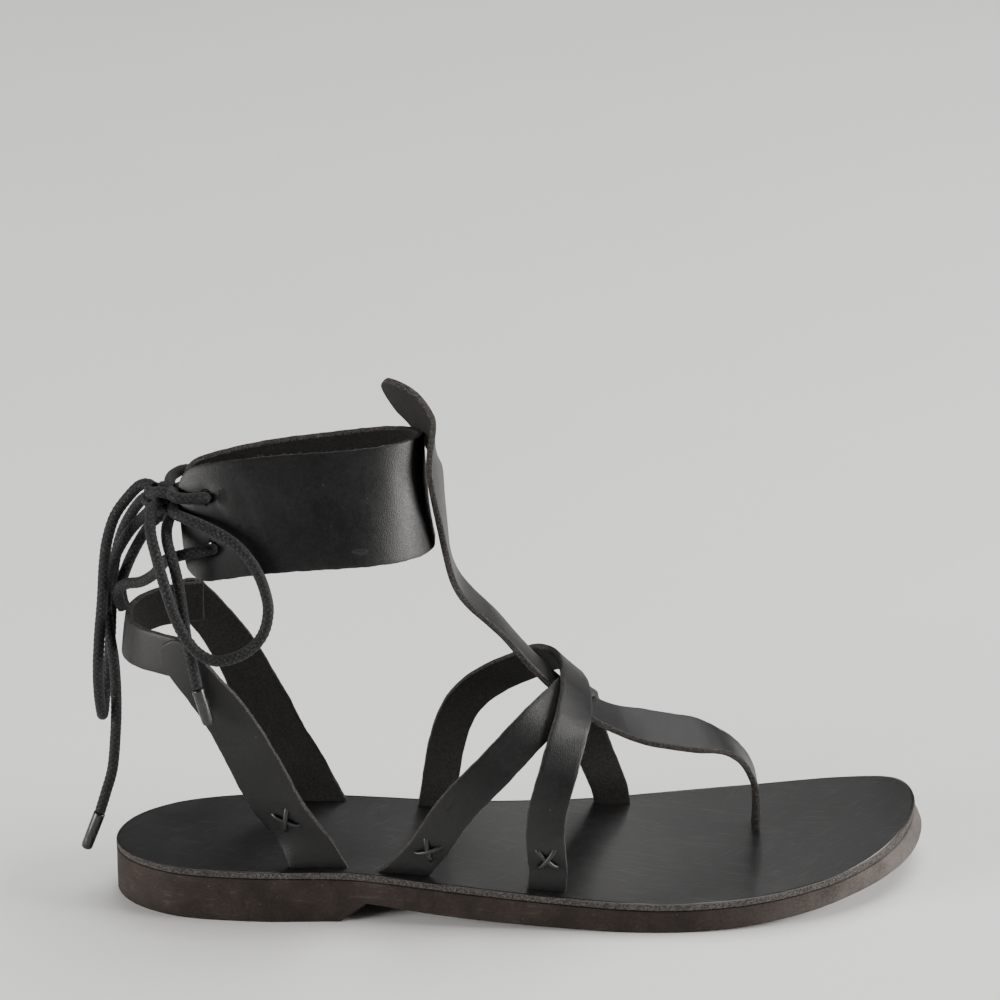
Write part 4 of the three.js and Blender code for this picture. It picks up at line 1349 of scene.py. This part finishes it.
    def fray(self, rng: np.random.Generator) -> tuple[Array, list]:
        """Stray fibres along both cut edges.

        Args:
            rng: The seeded source of chance.

        Returns:
            Corners and faces of thin three-sided needles.
        """
        count = int(self.length * self.fibres_per_mm)
        stations = rng.integers(2, len(self.distances) - 2, count)
        side = rng.choice([-1.0, 1.0], count)
        rises = rng.uniform(0.05, 1.0, count) * self.wall
        base, face = self._hugged(stations, self.half[stations] * side, rises)
        lean = (self.across[stations] * side[:, None] * rng.uniform(0.5, 1, count)[:, None]
                + self.forward[stations] * rng.normal(0, 0.7, count)[:, None]
                + face * rng.normal(0, 0.5, count)[:, None])
        length = self.fibre_length * rng.uniform(0.25, 1, count) ** 2
        return needles(base, unit(lean), length, rng)


NEEDLE_RADII = (0.018, 0.045)
NEEDLE_BEND = 0.25
NEEDLE_RINGS = ((-0.15, 1.0), (0.5, 0.75), (1.0, 0.2))


def needles(base: Array, lean: Array, length: Array, rng: np.random.Generator) -> tuple[Array, list]:
    """Thin curved three-sided needles.

    Args:
        base: Their roots.
        lean: Their directions.
        length: Their lengths.
        rng: The seeded source of chance.

    Returns:
        Corners and faces.
    """
    count = len(base)
    bend = unit(rng.normal(0, 1, (count, 3)))
    side = unit(np.cross(lean, bend))
    other = np.cross(lean, side)
    radius = rng.uniform(*NEEDLE_RADII, count)
    rings = []
    for share, thick in NEEDLE_RINGS:
        sag = bend * (length * NEEDLE_BEND * share ** 2)[:, None]
        centre = base + lean * (length * share)[:, None] + sag
        for k in range(3):
            angle = 2 * math.pi * k / 3
            spoke = side * math.cos(angle) + other * math.sin(angle)
            rings.append(centre + spoke * (radius * thick)[:, None])
    points = np.stack(rings, 1).reshape(-1, 3)
    faces = []
    for n in range(count):
        start = n * 9
        for ring in (0, 3):
            for k in range(3):
                a, b = start + ring + k, start + ring + (k + 1) % 3
                faces.append([a, b, b + 3, a + 3])
        faces.append([start + 8, start + 7, start + 6])
        faces.append([start, start + 1, start + 2])
    return points, faces


@dataclass
class StitchCross:
    """An X of thick waxed thread through a strap's foot."""

    strap: Strap
    distance: float
    arm: float = 5.4
    spread: float = 0.66
    thread: float = 0.8
    arch: float = 1.25
    dive: float = 2.1
    crossing: float = 0.45
    steps: int = 15
    sides: int = 10

    def build(self, name: str, material: bpy.types.Material) -> bpy.types.Object:
        """Makes the two arms as one piece."""
        centre, across, forward, out = self.strap.spot(self.distance, 0.0, self.strap.wall)
        points, faces = [], []
        for sign in (-1, 1):
            angle = sign * self.spread
            way = unit(forward * math.cos(angle) + across * math.sin(angle))
            path = []
            over = self.crossing if sign > 0 else 0
            for s in np.linspace(-1, 1, self.steps):
                lift = self.thread * (self.arch - self.dive * abs(s) ** 5) + over * (1 - s * s) ** 3
                path.append(centre + way * s * self.arm + out * (lift - self.thread * 0.35))
            tube, sides = tube_points(np.array(path), self.thread, self.sides, squash=(out, 0.7))
            faces += [[k + sum(map(len, points)) for k in f] for f in ring_faces(len(path), sides)]
            points.append(tube)
        return new_piece(name, np.vstack(points), faces, {}, material)


def tube_points(path: Array, radius: Union[float, Array], sides: int,
                squash: Optional[tuple[Array, float]] = None) -> tuple[Array, int]:
    """Corners of a round tube along a path.

    Args:
        path: Its middle line.
        radius: One radius, or rings by sides of them.
        sides: Corners of a ring.
        squash: A direction that is flattened, and to what share.

    Returns:
        The corners and the number of sides.
    """
    tangents = unit(np.gradient(path, axis=0))
    side = unit(np.cross(tangents[0], [0.3, 0.2, 0.93]))
    spokes = []
    for tangent in tangents:
        side = unit(side - tangent * np.dot(side, tangent))
        spokes.append((side, np.cross(tangent, side)))
    first, second = (np.array(part) for part in zip(*spokes))
    angle = 2 * math.pi * np.arange(sides) / sides
    reach = np.broadcast_to(np.asarray(radius, float), (len(path), sides))[..., None]
    offset = (first[:, None] * np.cos(angle)[None, :, None]
              + second[:, None] * np.sin(angle)[None, :, None]) * reach
    if squash is not None:
        way, share = squash
        offset = offset - (offset @ way)[..., None] * way * (1 - share)
    return (path[:, None] + offset).reshape(-1, 3), sides


@dataclass
class Cord:
    """A length of round braided lace, its picks crossing in diamonds."""

    name: str
    points: Sequence[Sequence[float]]
    diameter: float = SIZES.lace
    sides: int = 32
    step: float = 0.28
    carriers: int = 6
    pick: float = 1.9
    groove: float = 0.9
    swell: float = 0.12
    crown_powers: tuple[float, float] = (0.8, 0.4)
    end_round: float = 0.4
    end_share: float = 0.75

    def __post_init__(self) -> None:
        """Samples the route."""
        self.curve = Curve(self.points)
        self.length = self.curve.length

    def build(self, material: bpy.types.Material) -> bpy.types.Object:
        """Makes the cord with its braid raised."""
        distances = np.linspace(0, self.length, max(8, int(self.length / self.step)))
        around = np.arange(self.sides) / self.sides
        lead = distances[:, None] / self.pick
        right = around[None] * self.carriers + lead
        left = around[None] * self.carriers - lead
        over = (np.floor(right) + np.floor(left)) % 2 > 0.5
        lengthwise, across = np.where(over, right % 1, left % 1), np.where(over, left % 1, right % 1)
        wide, long = self.crown_powers
        crown = np.sin(math.pi * across) ** wide * np.sin(math.pi * lengthwise) ** long
        radius = self.diameter / 2 * (self.groove + self.swell * crown)
        end = np.minimum(distances, self.length - distances)[:, None]
        radius = radius * np.clip(end / self.end_round + self.end_share, 0, 1)
        tube, sides = tube_points(self.curve.at(distances), radius, self.sides)
        faces = ring_faces(len(distances), sides)
        # The crown value goes to the braid material, which paints shade in the grooves and highlight on the
        # crowns.
        return new_piece(self.name, tube, faces, {"crown": crown.ravel()}, material)

    def path(self) -> list[tuple[float, float, float]]:
        """The middle line in metres."""
        count = max(12, int(self.length / 1.5))
        return [tuple(p) for p in (self.curve.at(np.linspace(0, self.length, count)) * MM)]


class Lace:
    """The lace: runs through the cuff's holes, a tied knot, two loops and two ends."""

    KNOT_MIDDLE = (20.4, -8.6, 145.8)
    KNOT_AXIS = (0.34, -0.2, 1.0)
    KNOT_RADII = (4.9, 4.1)
    KNOT_TURNS = 2.15
    KNOT_STEPS = 14
    KNOT_PITCH = 0.97
    KNOT_CORE = ((19.4, -8, 140.2), (20.2, -8.4, 144), (20.4, -8.6, 148), (21.4, -9.4, 151))
    AGLET_SIDES = 20
    AGLET_SHARES = (0, 0.02, 0.06, 0.5, 0.9, 0.965, 0.99, 1.0)
    AGLET_TAPER = (0.9, 0.98, 1.0, 0.98, 0.96, 0.88, 0.7, 0.4)
    HOLE_RISES = (1.7, -2.3)
    KNOT_OVER = ((16.2, -9.6, 147.2), (19, -13.4, 149.6), (22.6, -15, 149.6), (26.4, -14.6, 147.4),
                 (28, -12.4, 144.4), (26, -9, 142.8))

    def __init__(self, finishes: Finishes, cuff: Strap) -> None:
        """Keeps the finishes and the cuff that it holds."""
        self.finishes = finishes
        self.cuff = cuff

    def build(self) -> None:
        knot = self._knot()
        self._free("lace_loop_lateral_cord", LOOP_LATERAL, "lace_loop_lateral")
        self._free("lace_loop_medial_cord", LOOP_MEDIAL, "lace_loop_medial")
        for name, route, tip in (("lateral", END_LATERAL, AGLET_LATERAL_TIP),
                                 ("medial", END_MEDIAL, AGLET_MEDIAL_TIP)):
            aglet = self._aglet(f"lace_aglet_{name}", route[-1], tip)
            self._free(f"lace_end_{name}_cord", route, f"lace_end_{name}")
        self._runs()

    def _free(self, name: str, route: Sequence, node: str) -> None:
        """Makes one free cord and hides the node that it stands for."""
        cord = Cord(name, route)
        piece = cord.build(self.finishes.braid)
        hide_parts(node)
        cord.path()

    def _aglet(self, node: str, start: Sequence[float], tip: Sequence[float]) -> bpy.types.Object:
        """Makes an aglet that tapers to its tip."""
        start, tip = np.asarray(start, float), np.asarray(tip, float)
        share = np.array(self.AGLET_SHARES)
        radius = SIZES.aglet / 2 * np.array(self.AGLET_TAPER)
        begin = start + unit(tip - start) * SIZES.seam
        path = begin + (tip - begin) * share[:, None]
        tube, sides = tube_points(path, np.repeat(radius[:, None], self.AGLET_SIDES, 1), self.AGLET_SIDES)
        piece = new_piece(node + "_tip", tube, ring_faces(len(path), sides), {}, self.finishes.aglet)
        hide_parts(node)
        return piece

    def _knot(self) -> bpy.types.Object:
        """Makes the knot: the lace wrapped round the roots of the loops, and crossed."""
        centre, axis = np.array(self.KNOT_MIDDLE), unit(np.array(self.KNOT_AXIS))
        side = unit(np.cross([0.0, 1.0, 0.0], axis))
        front = np.cross(axis, side)
        turn = np.linspace(0, 2 * math.pi * self.KNOT_TURNS, int(self.KNOT_TURNS * self.KNOT_STEPS))
        climb = (turn / turn[-1] - 0.5) * self.KNOT_TURNS * self.KNOT_PITCH * SIZES.lace
        wide, deep = self.KNOT_RADII
        coil = (centre + side * (wide * np.cos(turn))[:, None] + front * (deep * np.sin(turn))[:, None]
                + axis * climb[:, None])
        piece = Cord("lace_knot_wrap", coil.tolist()).build(self.finishes.braid)
        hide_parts("lace_knot")
        for name, route in (("core", self.KNOT_CORE), ("over", self.KNOT_OVER)):
            Cord(f"lace_knot_{name}", route).build(self.finishes.braid)
        return piece

    def _runs(self) -> None:
        """Makes the bars that go through the holes and meet behind the back band."""
        for name, top, stem, end in (("lateral", TOP_LATERAL, STEM_LATERAL, 1),
                                     ("medial", TOP_MEDIAL, STEM_MEDIAL, -1)):
            first, second = (self._through(end, offset) for offset in (1, -1))
            route = [KNOT, *top[:-1], *first, *second[::-1], *stem[::-1][1:]]
            piece = Cord(f"lace_run_{name}", route).build(self.finishes.braid)
            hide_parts(f"lace_top_bar_{name}")
            if name == "lateral":
                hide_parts("lace_lower_bars")

    def _through(self, end: int, offset: int) -> list[tuple[float, ...]]:
        """Points of the lace as it dives through a hole: outside, in the hole, and inside."""
        distance = CUFF_HOLES.from_end if end > 0 else self.cuff.length - CUFF_HOLES.from_end
        side = CUFF_HOLES.sag - offset * CUFF_HOLES.spread
        wall = self.cuff.wall
        outside, inside = self.HOLE_RISES
        rises = (wall + outside, wall / 2, inside)
        return [tuple(self.cuff.spot(distance, side, rise)[0]) for rise in rises]


@dataclass(frozen=True)
class CuffHoles:
    """The lace holes of the cuff."""

    from_end: float = 10.0
    spread: float = 8.5
    diameter: float = 4.6
    sag: float = 0.35
    dip: float = 0.35
    dip_reach: float = 3.4
    sides: int = 28

    def centres(self, length: float) -> list[tuple[float, float]]:
        """Distances along a cuff of some length, and offsets across it."""
        return [(end, side) for end in (self.from_end, length - self.from_end)
                for side in (-self.spread, self.spread)]


CUFF_HOLES = CuffHoles()
CUT_WALL = {"edge": 1.0, "flesh": 0.0, "wear": 0.0}


class Cuff:
    """The wide ankle cuff with its four lace holes."""

    WIDTH = 38.5
    CORNER = 8.0
    CREASES = (
        Crease(16, 0.5, 0.16, 1.3, -6, 6), Crease(19.5, -0.6, 0.12, 1.1, 5, 5), Crease(24, 0.25, 0.13, 2.2),
        Crease(31, -0.12, 0.08, 3.0), Crease(47, 0.3, 0.07, 2.0, 8, 8), Crease(66, 0.1, 0.1, 3.5),
        Crease(73, -0.2, 0.07, 2.0, -8, 9), Crease(88, -0.15, 0.1, 3.0), Crease(118, 0.2, 0.09, 2.5),
    )
    SCUFFS = (Scuff(15.5, -7.5, 2.4, 4.2), Scuff(20, 3, 1.4, 2.2), Scuff(58, 14, 3.0, 1.4))

    def __init__(self) -> None:
        """Sets out the cuff as a wide strap."""
        self.strap = Strap("ankle_cuff", CUFF, self.WIDTH, start_corner=self.CORNER,
                           end_corner=self.CORNER, columns=30, step=0.9, relief=self._relief,
                           wave=0.14, scuffs=self.SCUFFS)

    @staticmethod
    def _relief(along: Array, across: Array) -> Array:
        """Soft troughs of the cuff's face: wrinkles and the dips round its holes."""
        dip = np.zeros_like(along)
        for end, side in CUFF_HOLES.centres(along.max()):
            gap = np.hypot(along - end, across - side)
            dip -= CUFF_HOLES.dip * np.exp(-(gap / CUFF_HOLES.dip_reach) ** 2)
        return dip + creased(Cuff.CREASES)(along, across)

    def build(self, finishes: Finishes) -> None:
        """Makes the cuff and punches its holes."""
        piece = self.strap.build(finishes.strap)
        for end, side in CUFF_HOLES.centres(self.strap.length):
            self._punch(piece, end, side)

    def _punch(self, piece: bpy.types.Object, distance: float, offset: float) -> None:
        """Cuts one round hole through the cuff."""
        point, _, _, out = self.strap.spot(distance, offset, self.strap.wall / 2)
        path = np.array([point - out * 4, point + out * 4])
        tube, sides = tube_points(path, CUFF_HOLES.diameter / 2, CUFF_HOLES.sides)
        marks = {key: np.full(len(tube), value) for key, value in CUT_WALL.items()}
        cutter = put_in_scene("punch", new_mesh("punch", tube, ring_faces(2, sides), marks))
        cut = piece.modifiers.new("punch", "BOOLEAN")
        cut.operation, cut.solver, cut.object = "DIFFERENCE", "EXACT", cutter
        seen = piece.evaluated_get(bpy.context.evaluated_depsgraph_get())
        result = bpy.data.meshes.new_from_object(seen)
        piece.modifiers.clear()
        piece.data = result
        bpy.data.objects.remove(cutter)


class Upper:
    """All the straps with their stitches and frayed edges."""

    TOE_WIDTH = 19.0
    HEEL_WIDTH = 17.0
    INSTEP_WIDTH = 13.0
    BAND_WIDTH = 14.0
    TOE_CORNER = 9.0
    HEEL_CORNER = 6.5
    TOE_CREASES = (
        Crease(34, 0.25, 0.12, 1.6), Crease(41, -0.2, 0.1, 1.4, 3, 5), Crease(52, 0.15, 0.1, 2.2),
        Crease(66, -0.25, 0.12, 2.0, -2, 6), Crease(84, 0.2, 0.12, 2.0), Crease(150, 0.2, 0.12, 2.6),
        Crease(176, -0.2, 0.1, 2.2), Crease(204, 0.15, 0.12, 2.4), Crease(262, 0.1, 0.1, 2.0),
    )
    UNDER_CREASES = (
        Crease(17, 0.3, 0.1, 1.6), Crease(34, -0.35, 0.14, 2.0), Crease(47, 0.2, 0.1, 1.8, 3, 5),
        Crease(66, -0.2, 0.14, 2.2), Crease(92, 0.25, 0.14, 2.4), Crease(120, -0.2, 0.12, 2.2),
    )
    OVER_CREASES = (
        Crease(30, 0.3, 0.12, 1.8), Crease(44, -0.2, 0.13, 2.2), Crease(62, 0.25, 0.16, 2.0),
        Crease(71, -0.3, 0.1, 1.6, -3, 5), Crease(98, 0.2, 0.13, 2.4), Crease(124, -0.2, 0.1, 2.0),
    )
    HEEL_CREASES = (
        Crease(33, 0.25, 0.12, 2.0), Crease(52, -0.2, 0.12, 2.4), Crease(70, 0.2, 0.1, 2.0, 3, 6),
        Crease(84, -0.25, 0.12, 1.8),
    )
    BAND_CREASES = (Crease(16, 0.1, 0.12, 2.0), Crease(27, -0.15, 0.14, 2.6), Crease(45, 0.1, 0.12, 2.0))
    STITCHED_FEET = (
        ("instep_strap_under", 23.0, False), ("instep_strap_under", 23.0, True),
        ("instep_strap_over", 21.0, False), ("instep_strap_over", 21.0, True),
        ("heel_strap_lateral", 27.5, False), ("heel_strap_medial", 27.5, False),
    )

    def __init__(self, finishes: Finishes) -> None:
        """Sets out every strap."""
        self.finishes = finishes
        self.cuff = Cuff()
        heel = {"width": self.HEEL_WIDTH, "end_corner": self.HEEL_CORNER,
                "relief": creased(self.HEEL_CREASES)}
        self.straps = [
            Strap("toe_strap", TOE_STRAP, self.TOE_WIDTH, end_corner=self.TOE_CORNER, columns=14,
                  relief=creased(self.TOE_CREASES)),
            Strap("instep_strap_under", INSTEP_UNDER, self.INSTEP_WIDTH,
                  relief=creased(self.UNDER_CREASES), scuffs=(Scuff(41, -2, 3.0, 1.2),)),
            Strap("instep_strap_over", INSTEP_OVER, self.INSTEP_WIDTH,
                  relief=creased(self.OVER_CREASES)),
            Strap("heel_strap_lateral", heel_strap_rows(Side.LATERAL), **heel),
            Strap("heel_strap_medial", heel_strap_rows(Side.MEDIAL), **heel),
            Strap("heel_back_band", BACK_BAND, self.BAND_WIDTH, relief=creased(self.BAND_CREASES)),
        ]

    def build(self) -> None:
        """Makes the straps, the cuff, their stitches and their stray fibres."""
        self.cuff.build(self.finishes)
        rng = np.random.default_rng(SEED)
        for strap in self.straps:
            strap.build(self.finishes.strap)
        for strap in (*self.straps, self.cuff.strap):
            log.info("strap %s, %.0f mm long", strap.name, strap.length)
            points, faces = strap.fray(rng)
            new_piece(strap.name + "_fibres", points, faces, {}, self.finishes.fibre)
        self._stitches()

    def _stitches(self) -> None:
        """Puts an X of thread on each strap foot."""
        named = {strap.name: strap for strap in self.straps}
        for name, distance, far in self.STITCHED_FEET:
            strap = named[name]
            place = strap.length - distance if far else distance
            end = "_end" if far else ""
            StitchCross(strap, place).build(f"{name}{end}_stitch", self.finishes.thread)


@dataclass
class SoleSlab:
    """A layer of the sole between two heights, with rounded rims and a flared toe."""

    name: str
    bottom: Callable[[Array], Array]
    top: Callable[[Array], Array]
    flare: float = 0.0
    rim_top: float = 0.4
    rim_bottom: float = 0.7
    wave: float = 0.0
    side_rows: int = 6
    columns: int = 56
    stations: int = 260
    flare_from: float = 0.88
    wobble_length: float = 37.0

    def corners(self) -> tuple[Array, list[list[int]], dict[str, Array]]:
        """Corners, faces and marks: a grid on top, rows down the side, and a grid below."""
        xs, left, right = self._plan()
        share = (1 - np.cos(np.pi * np.arange(self.columns + 1) / self.columns)) / 2
        rim = self._rim(xs, left, right)
        normal = self._outward(rim)
        levels = self._levels()
        points, edge = [], []
        for inset, height, mark in levels:
            ring = rim - normal * inset
            top, bottom = self.top(rim[:, 0]), self.bottom(rim[:, 0])
            z = bottom + (top - bottom) * height[0] + height[1]
            depth = (self.top(np.array(SIZES.length)) - z) / SIZES.toe_wall
            push = self.flare * smooth_step(rim[:, 0], self.flare_from * SIZES.length, SIZES.length) * depth
            if self.wave and 0 < height[0] < 1:
                wobble = self.wave * ripple(np.arange(len(rim)) * 1.0, self.wobble_length, height[0] * 5)
                ring = ring + normal * wobble[:, None]
            points.append(np.column_stack([ring[:, 0] + push, ring[:, 1], z]))
            edge.append(np.full(len(rim), mark))
        faces = ring_faces(len(levels), len(rim), caps=False)
        start = sum(map(len, points))
        for last, up in ((0, True), (len(levels) - 1, False)):
            grid, grid_faces = self._cover(points[last], xs, share, up, start)
            points.append(grid)
            edge.append(np.zeros(len(grid)))
            faces += [[last * len(rim) + -k - 1 if k < 0 else k for k in f] for f in grid_faces]
            start += len(grid)
        return np.vstack(points), faces, {"edge": np.concatenate(edge)}

    def _plan(self) -> tuple[Array, Array, Array]:
        """Places along the sole with the outline's Y on both sides."""
        t = (1 - np.cos(np.pi * np.arange(1, self.stations) / self.stations)) / 2
        rim = SOLE_FORM.rim.points
        low, high = rim[:, 0].min(), rim[:, 0].max()
        xs = low + (high - low) * t
        extra = [SIZES.heel_seat, SIZES.heel_seat + SIZES.breast_slant]
        xs = np.unique(np.concatenate([xs, extra]))
        return xs, SOLE_FORM.edge(xs, Side.LATERAL), SOLE_FORM.edge(xs, Side.MEDIAL)

    @staticmethod
    def _rim(xs: Array, left: Array, right: Array) -> Array:
        """The outline as one loop: heel tip, lateral side, toe tip, medial side."""
        rim = SOLE_FORM.rim.points
        heel = rim[int(np.argmin(rim[:, 0]))]
        toe = rim[int(np.argmax(rim[:, 0]))]
        lateral = np.column_stack([xs, left])
        medial = np.column_stack([xs, right])[::-1]
        return np.vstack([heel[None], lateral, toe[None], medial])

    @staticmethod
    def _outward(rim: Array) -> Array:
        """Outward directions of the loop."""
        along = np.roll(rim, -1, 0) - np.roll(rim, 1, 0)
        return unit(np.column_stack([along[:, 1], -along[:, 0]]))

    def _levels(self) -> list[tuple[float, tuple[float, float], float]]:
        """Rings from the top's rim to the bottom's: inset, height as share and shift, mark."""
        t, b = self.rim_top, self.rim_bottom
        levels = [(t * 3, (1, 0), 0.0), (t, (1, 0), 0.0), (t * 0.3, (1, -t * 0.3), 0.7), (0, (1, -t), 1.0)]
        levels += [(0.0, (1 - k / self.side_rows, 0), 1.0) for k in range(1, self.side_rows)]
        levels += [(0, (0, b), 1.0), (b * 0.3, (0, b * 0.3), 0.7), (b, (0, 0), 0.0), (b * 3, (0, 0), 0.0)]
        return levels

    def _cover(self, ring: Array, xs: Array, share: Array, up: bool, start: int) -> tuple[Array, list]:
        """A grid that fills a ring, from its lateral to its medial side.

        Args:
            ring: The ring's corners, heel tip first.
            xs: Places along the sole.
            share: Shares across it.
            up: Whether the grid faces up.
            start: Number of the grid's first corner.

        Returns:
            The inner corners, and faces in which a ring's corner k is written as -k - 1.
        """
        n = len(xs)
        lateral, medial = ring[1:n + 1], ring[n + 2:][::-1]
        inner = share[1:-1]
        grid = lateral[:, None] + (medial - lateral)[:, None] * inner[None, :, None]
        cols = len(inner)

        def number(i: int, j: int) -> int:
            """Corner number of station i and column j, the ring's own corners included."""
            if j == 0:
                return -(i + 1) - 1
            if j == cols + 1:
                return -(2 * n + 1 - i) - 1
            return start + i * cols + j - 1

        faces = []
        for i in range(n - 1):
            for j in range(cols + 1):
                quad = [number(i, j), number(i + 1, j), number(i + 1, j + 1), number(i, j + 1)]
                faces.append(quad if up else quad[::-1])
        for i, tip in ((0, 0), (n - 1, n + 1)):
            for j in range(cols + 1):
                tri = [-tip - 1, number(i, j), number(i, j + 1)]
                faces.append(tri if (i == 0) == up else tri[::-1])
        return grid.reshape(-1, 3), faces

    def build(self, node: str, material: bpy.types.Material, slot: str) -> None:
        """Makes the layer's piece, which stands for its node."""
        points, faces, marks = self.corners()
        piece = new_piece(self.name, points, faces, marks, material)
        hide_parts(node)


class Sole:
    """The outsole and the leather footbed on it."""

    FUZZ_PER_MM = 3
    FUZZ_LENGTH = 0.7
    FUZZ_ROOT = 0.05

    def __init__(self, finishes: Finishes) -> None:
        """Keeps the finishes."""
        self.finishes = finishes

    def build(self) -> None:
        """Makes both layers and the fuzz of the footbed's edge."""
        outsole = SoleSlab("outsole_unit", SOLE_FORM.bottom, SOLE_FORM.top, flare=SIZES.toe_flare,
                           wave=0.12, columns=30)
        outsole.build("outsole", self.finishes.sole, "sole_rubber")
        footbed = SoleSlab("footbed_cover", SOLE_FORM.footbed_bottom, SOLE_FORM.footbed_top,
                           wave=0.1, side_rows=4, rim_bottom=0.3)
        footbed.build("footbed", self.finishes.footbed, "footbed_leather")
        self._fuzz()

    def _fuzz(self) -> None:
        """Stray fibres round the footbed's raw edge."""
        rng = np.random.default_rng(SEED + 1)
        rim = SOLE_FORM.rim
        count = int(rim.length * self.FUZZ_PER_MM)
        distance = rng.uniform(0, rim.length, count)
        place = rim.at(distance)
        way = rim.tangent(distance)
        out = np.column_stack([way[:, 1], -way[:, 0], np.zeros(count)])
        share = rng.uniform(0, 1, count)
        x = place[:, 0]
        z = SOLE_FORM.footbed_bottom(x) * (1 - share) + SOLE_FORM.footbed_top(x) * share
        base = np.column_stack([place, z]) - out * self.FUZZ_ROOT
        lean = out + rng.normal(0, 0.6, (count, 3))
        length = self.FUZZ_LENGTH * rng.uniform(0.2, 1, count) ** 2
        points, faces = needles(base, unit(lean), length, rng)
        new_piece("footbed_fibres", points, faces, {}, self.finishes.fibre)


@dataclass(frozen=True)
class Lamp:
    """A soft square lamp that looks at the shoe."""

    name: str
    place: tuple[float, float, float]
    size: float
    power: float
    colour: Rgb = (1.0, 0.985, 0.965)


class Studio:
    """Camera, lights and floor."""

    LENS = 127.1
    SENSOR = 36.0
    CAMERA = (0.0841, -1.1103, 0.5446)
    PITCH = 20.0
    YAW = 2.5
    AIM = (0.13, 0.0, 0.07)
    LAMPS = (
        Lamp("toe_side", (2.0, -0.2, 0.48), 1.0, 84.0),
        Lamp("heel_side", (-1.7, -0.75, 0.42), 0.8, 54.0),
        Lamp("rear", (0.5, 1.6, 0.8), 0.35, 0.9),
    )
    SUN = (0.3, 0.55, 1.2)
    SUN_STRENGTH = 2.7
    SUN_ANGLE = 50.0
    SURROUND = 0.09
    SURROUND_COLOUR = (0.92, 0.93, 0.95)
    CLIP = (0.05, 20)
    FLOOR_CORNERS = ((-4, -3, 0), (4, -3, 0), (4, 6, 0), (-4, 6, 0))
    FLOOR_TONES = ((0.79, 0.785, 0.775), (0.82, 0.815, 0.805))

    def build(self) -> None:
        """Makes the camera, the lamps and the floor."""
        self._camera()
        for lamp in self.LAMPS:
            self._lamp(lamp)
        self._sun()
        self._floor()

    def _camera(self) -> None:
        """Makes the camera at the photograph's angle."""
        data = bpy.data.cameras.new("camera")
        data.lens, data.sensor_width, data.sensor_fit = self.LENS, self.SENSOR, "HORIZONTAL"
        data.clip_start, data.clip_end = self.CLIP
        camera = put_in_scene("camera", data)
        camera.location = self.CAMERA
        camera.rotation_euler = (math.radians(90 - self.PITCH), 0, math.radians(-self.YAW))
        bpy.context.scene.camera = camera

    def _lamp(self, lamp: Lamp) -> None:
        """Makes one area lamp."""
        data = bpy.data.lights.new(lamp.name, "AREA")
        data.shape, data.size, data.energy, data.color = "SQUARE", lamp.size, lamp.power, lamp.colour
        light = put_in_scene(lamp.name, data)
        light.location = lamp.place
        toward = Vector(self.AIM) - Vector(lamp.place)
        light.rotation_euler = toward.to_track_quat("-Z", "Y").to_euler()

    def _sun(self) -> None:
        """Makes the wide soft light from above and behind."""
        data = bpy.data.lights.new("sun", "SUN")
        data.energy, data.angle = self.SUN_STRENGTH, math.radians(self.SUN_ANGLE)
        light = put_in_scene("sun", data)
        light.rotation_euler = (-Vector(self.SUN)).to_track_quat("-Z", "Y").to_euler()

    def _floor(self) -> None:
        """Makes a plain pale floor and an even pale surround."""
        mesh = bpy.data.meshes.new("floor")
        mesh.from_pydata(self.FLOOR_CORNERS, [], [[0, 1, 2, 3]])
        floor = put_in_scene("floor", mesh)
        material, sheet, shader = begin_material("pale_floor")
        tone = sheet.noise(sheet.place(), 6.0, 2.0)
        colour = sheet.blend(tone, *map(rgba, self.FLOOR_TONES))
        sheet.tree.links.new(colour, shader.inputs["Base Color"])
        shader.inputs["Roughness"].default_value = 0.9
        mesh.materials.append(material)
        world = bpy.data.worlds.new("surround")
        world.use_nodes = True
        back = world.node_tree.nodes["Background"]
        back.inputs["Color"].default_value = rgba(self.SURROUND_COLOUR)
        back.inputs["Strength"].default_value = self.SURROUND
        bpy.context.scene.world = world


def main() -> None:
    """Builds the shoe's pieces in order and notes the sizes."""
    logging.basicConfig(level=logging.INFO, format="%(name)s: %(message)s")
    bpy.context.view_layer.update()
    Studio().build()
    finishes = Finishes()
    upper = Upper(finishes)
    Lace(finishes, upper.cuff.strap).build()
    log.info("lace done")
    upper.build()
    Sole(finishes).build()
    log.info("sole done")


if __name__ == "__main__":
    main()
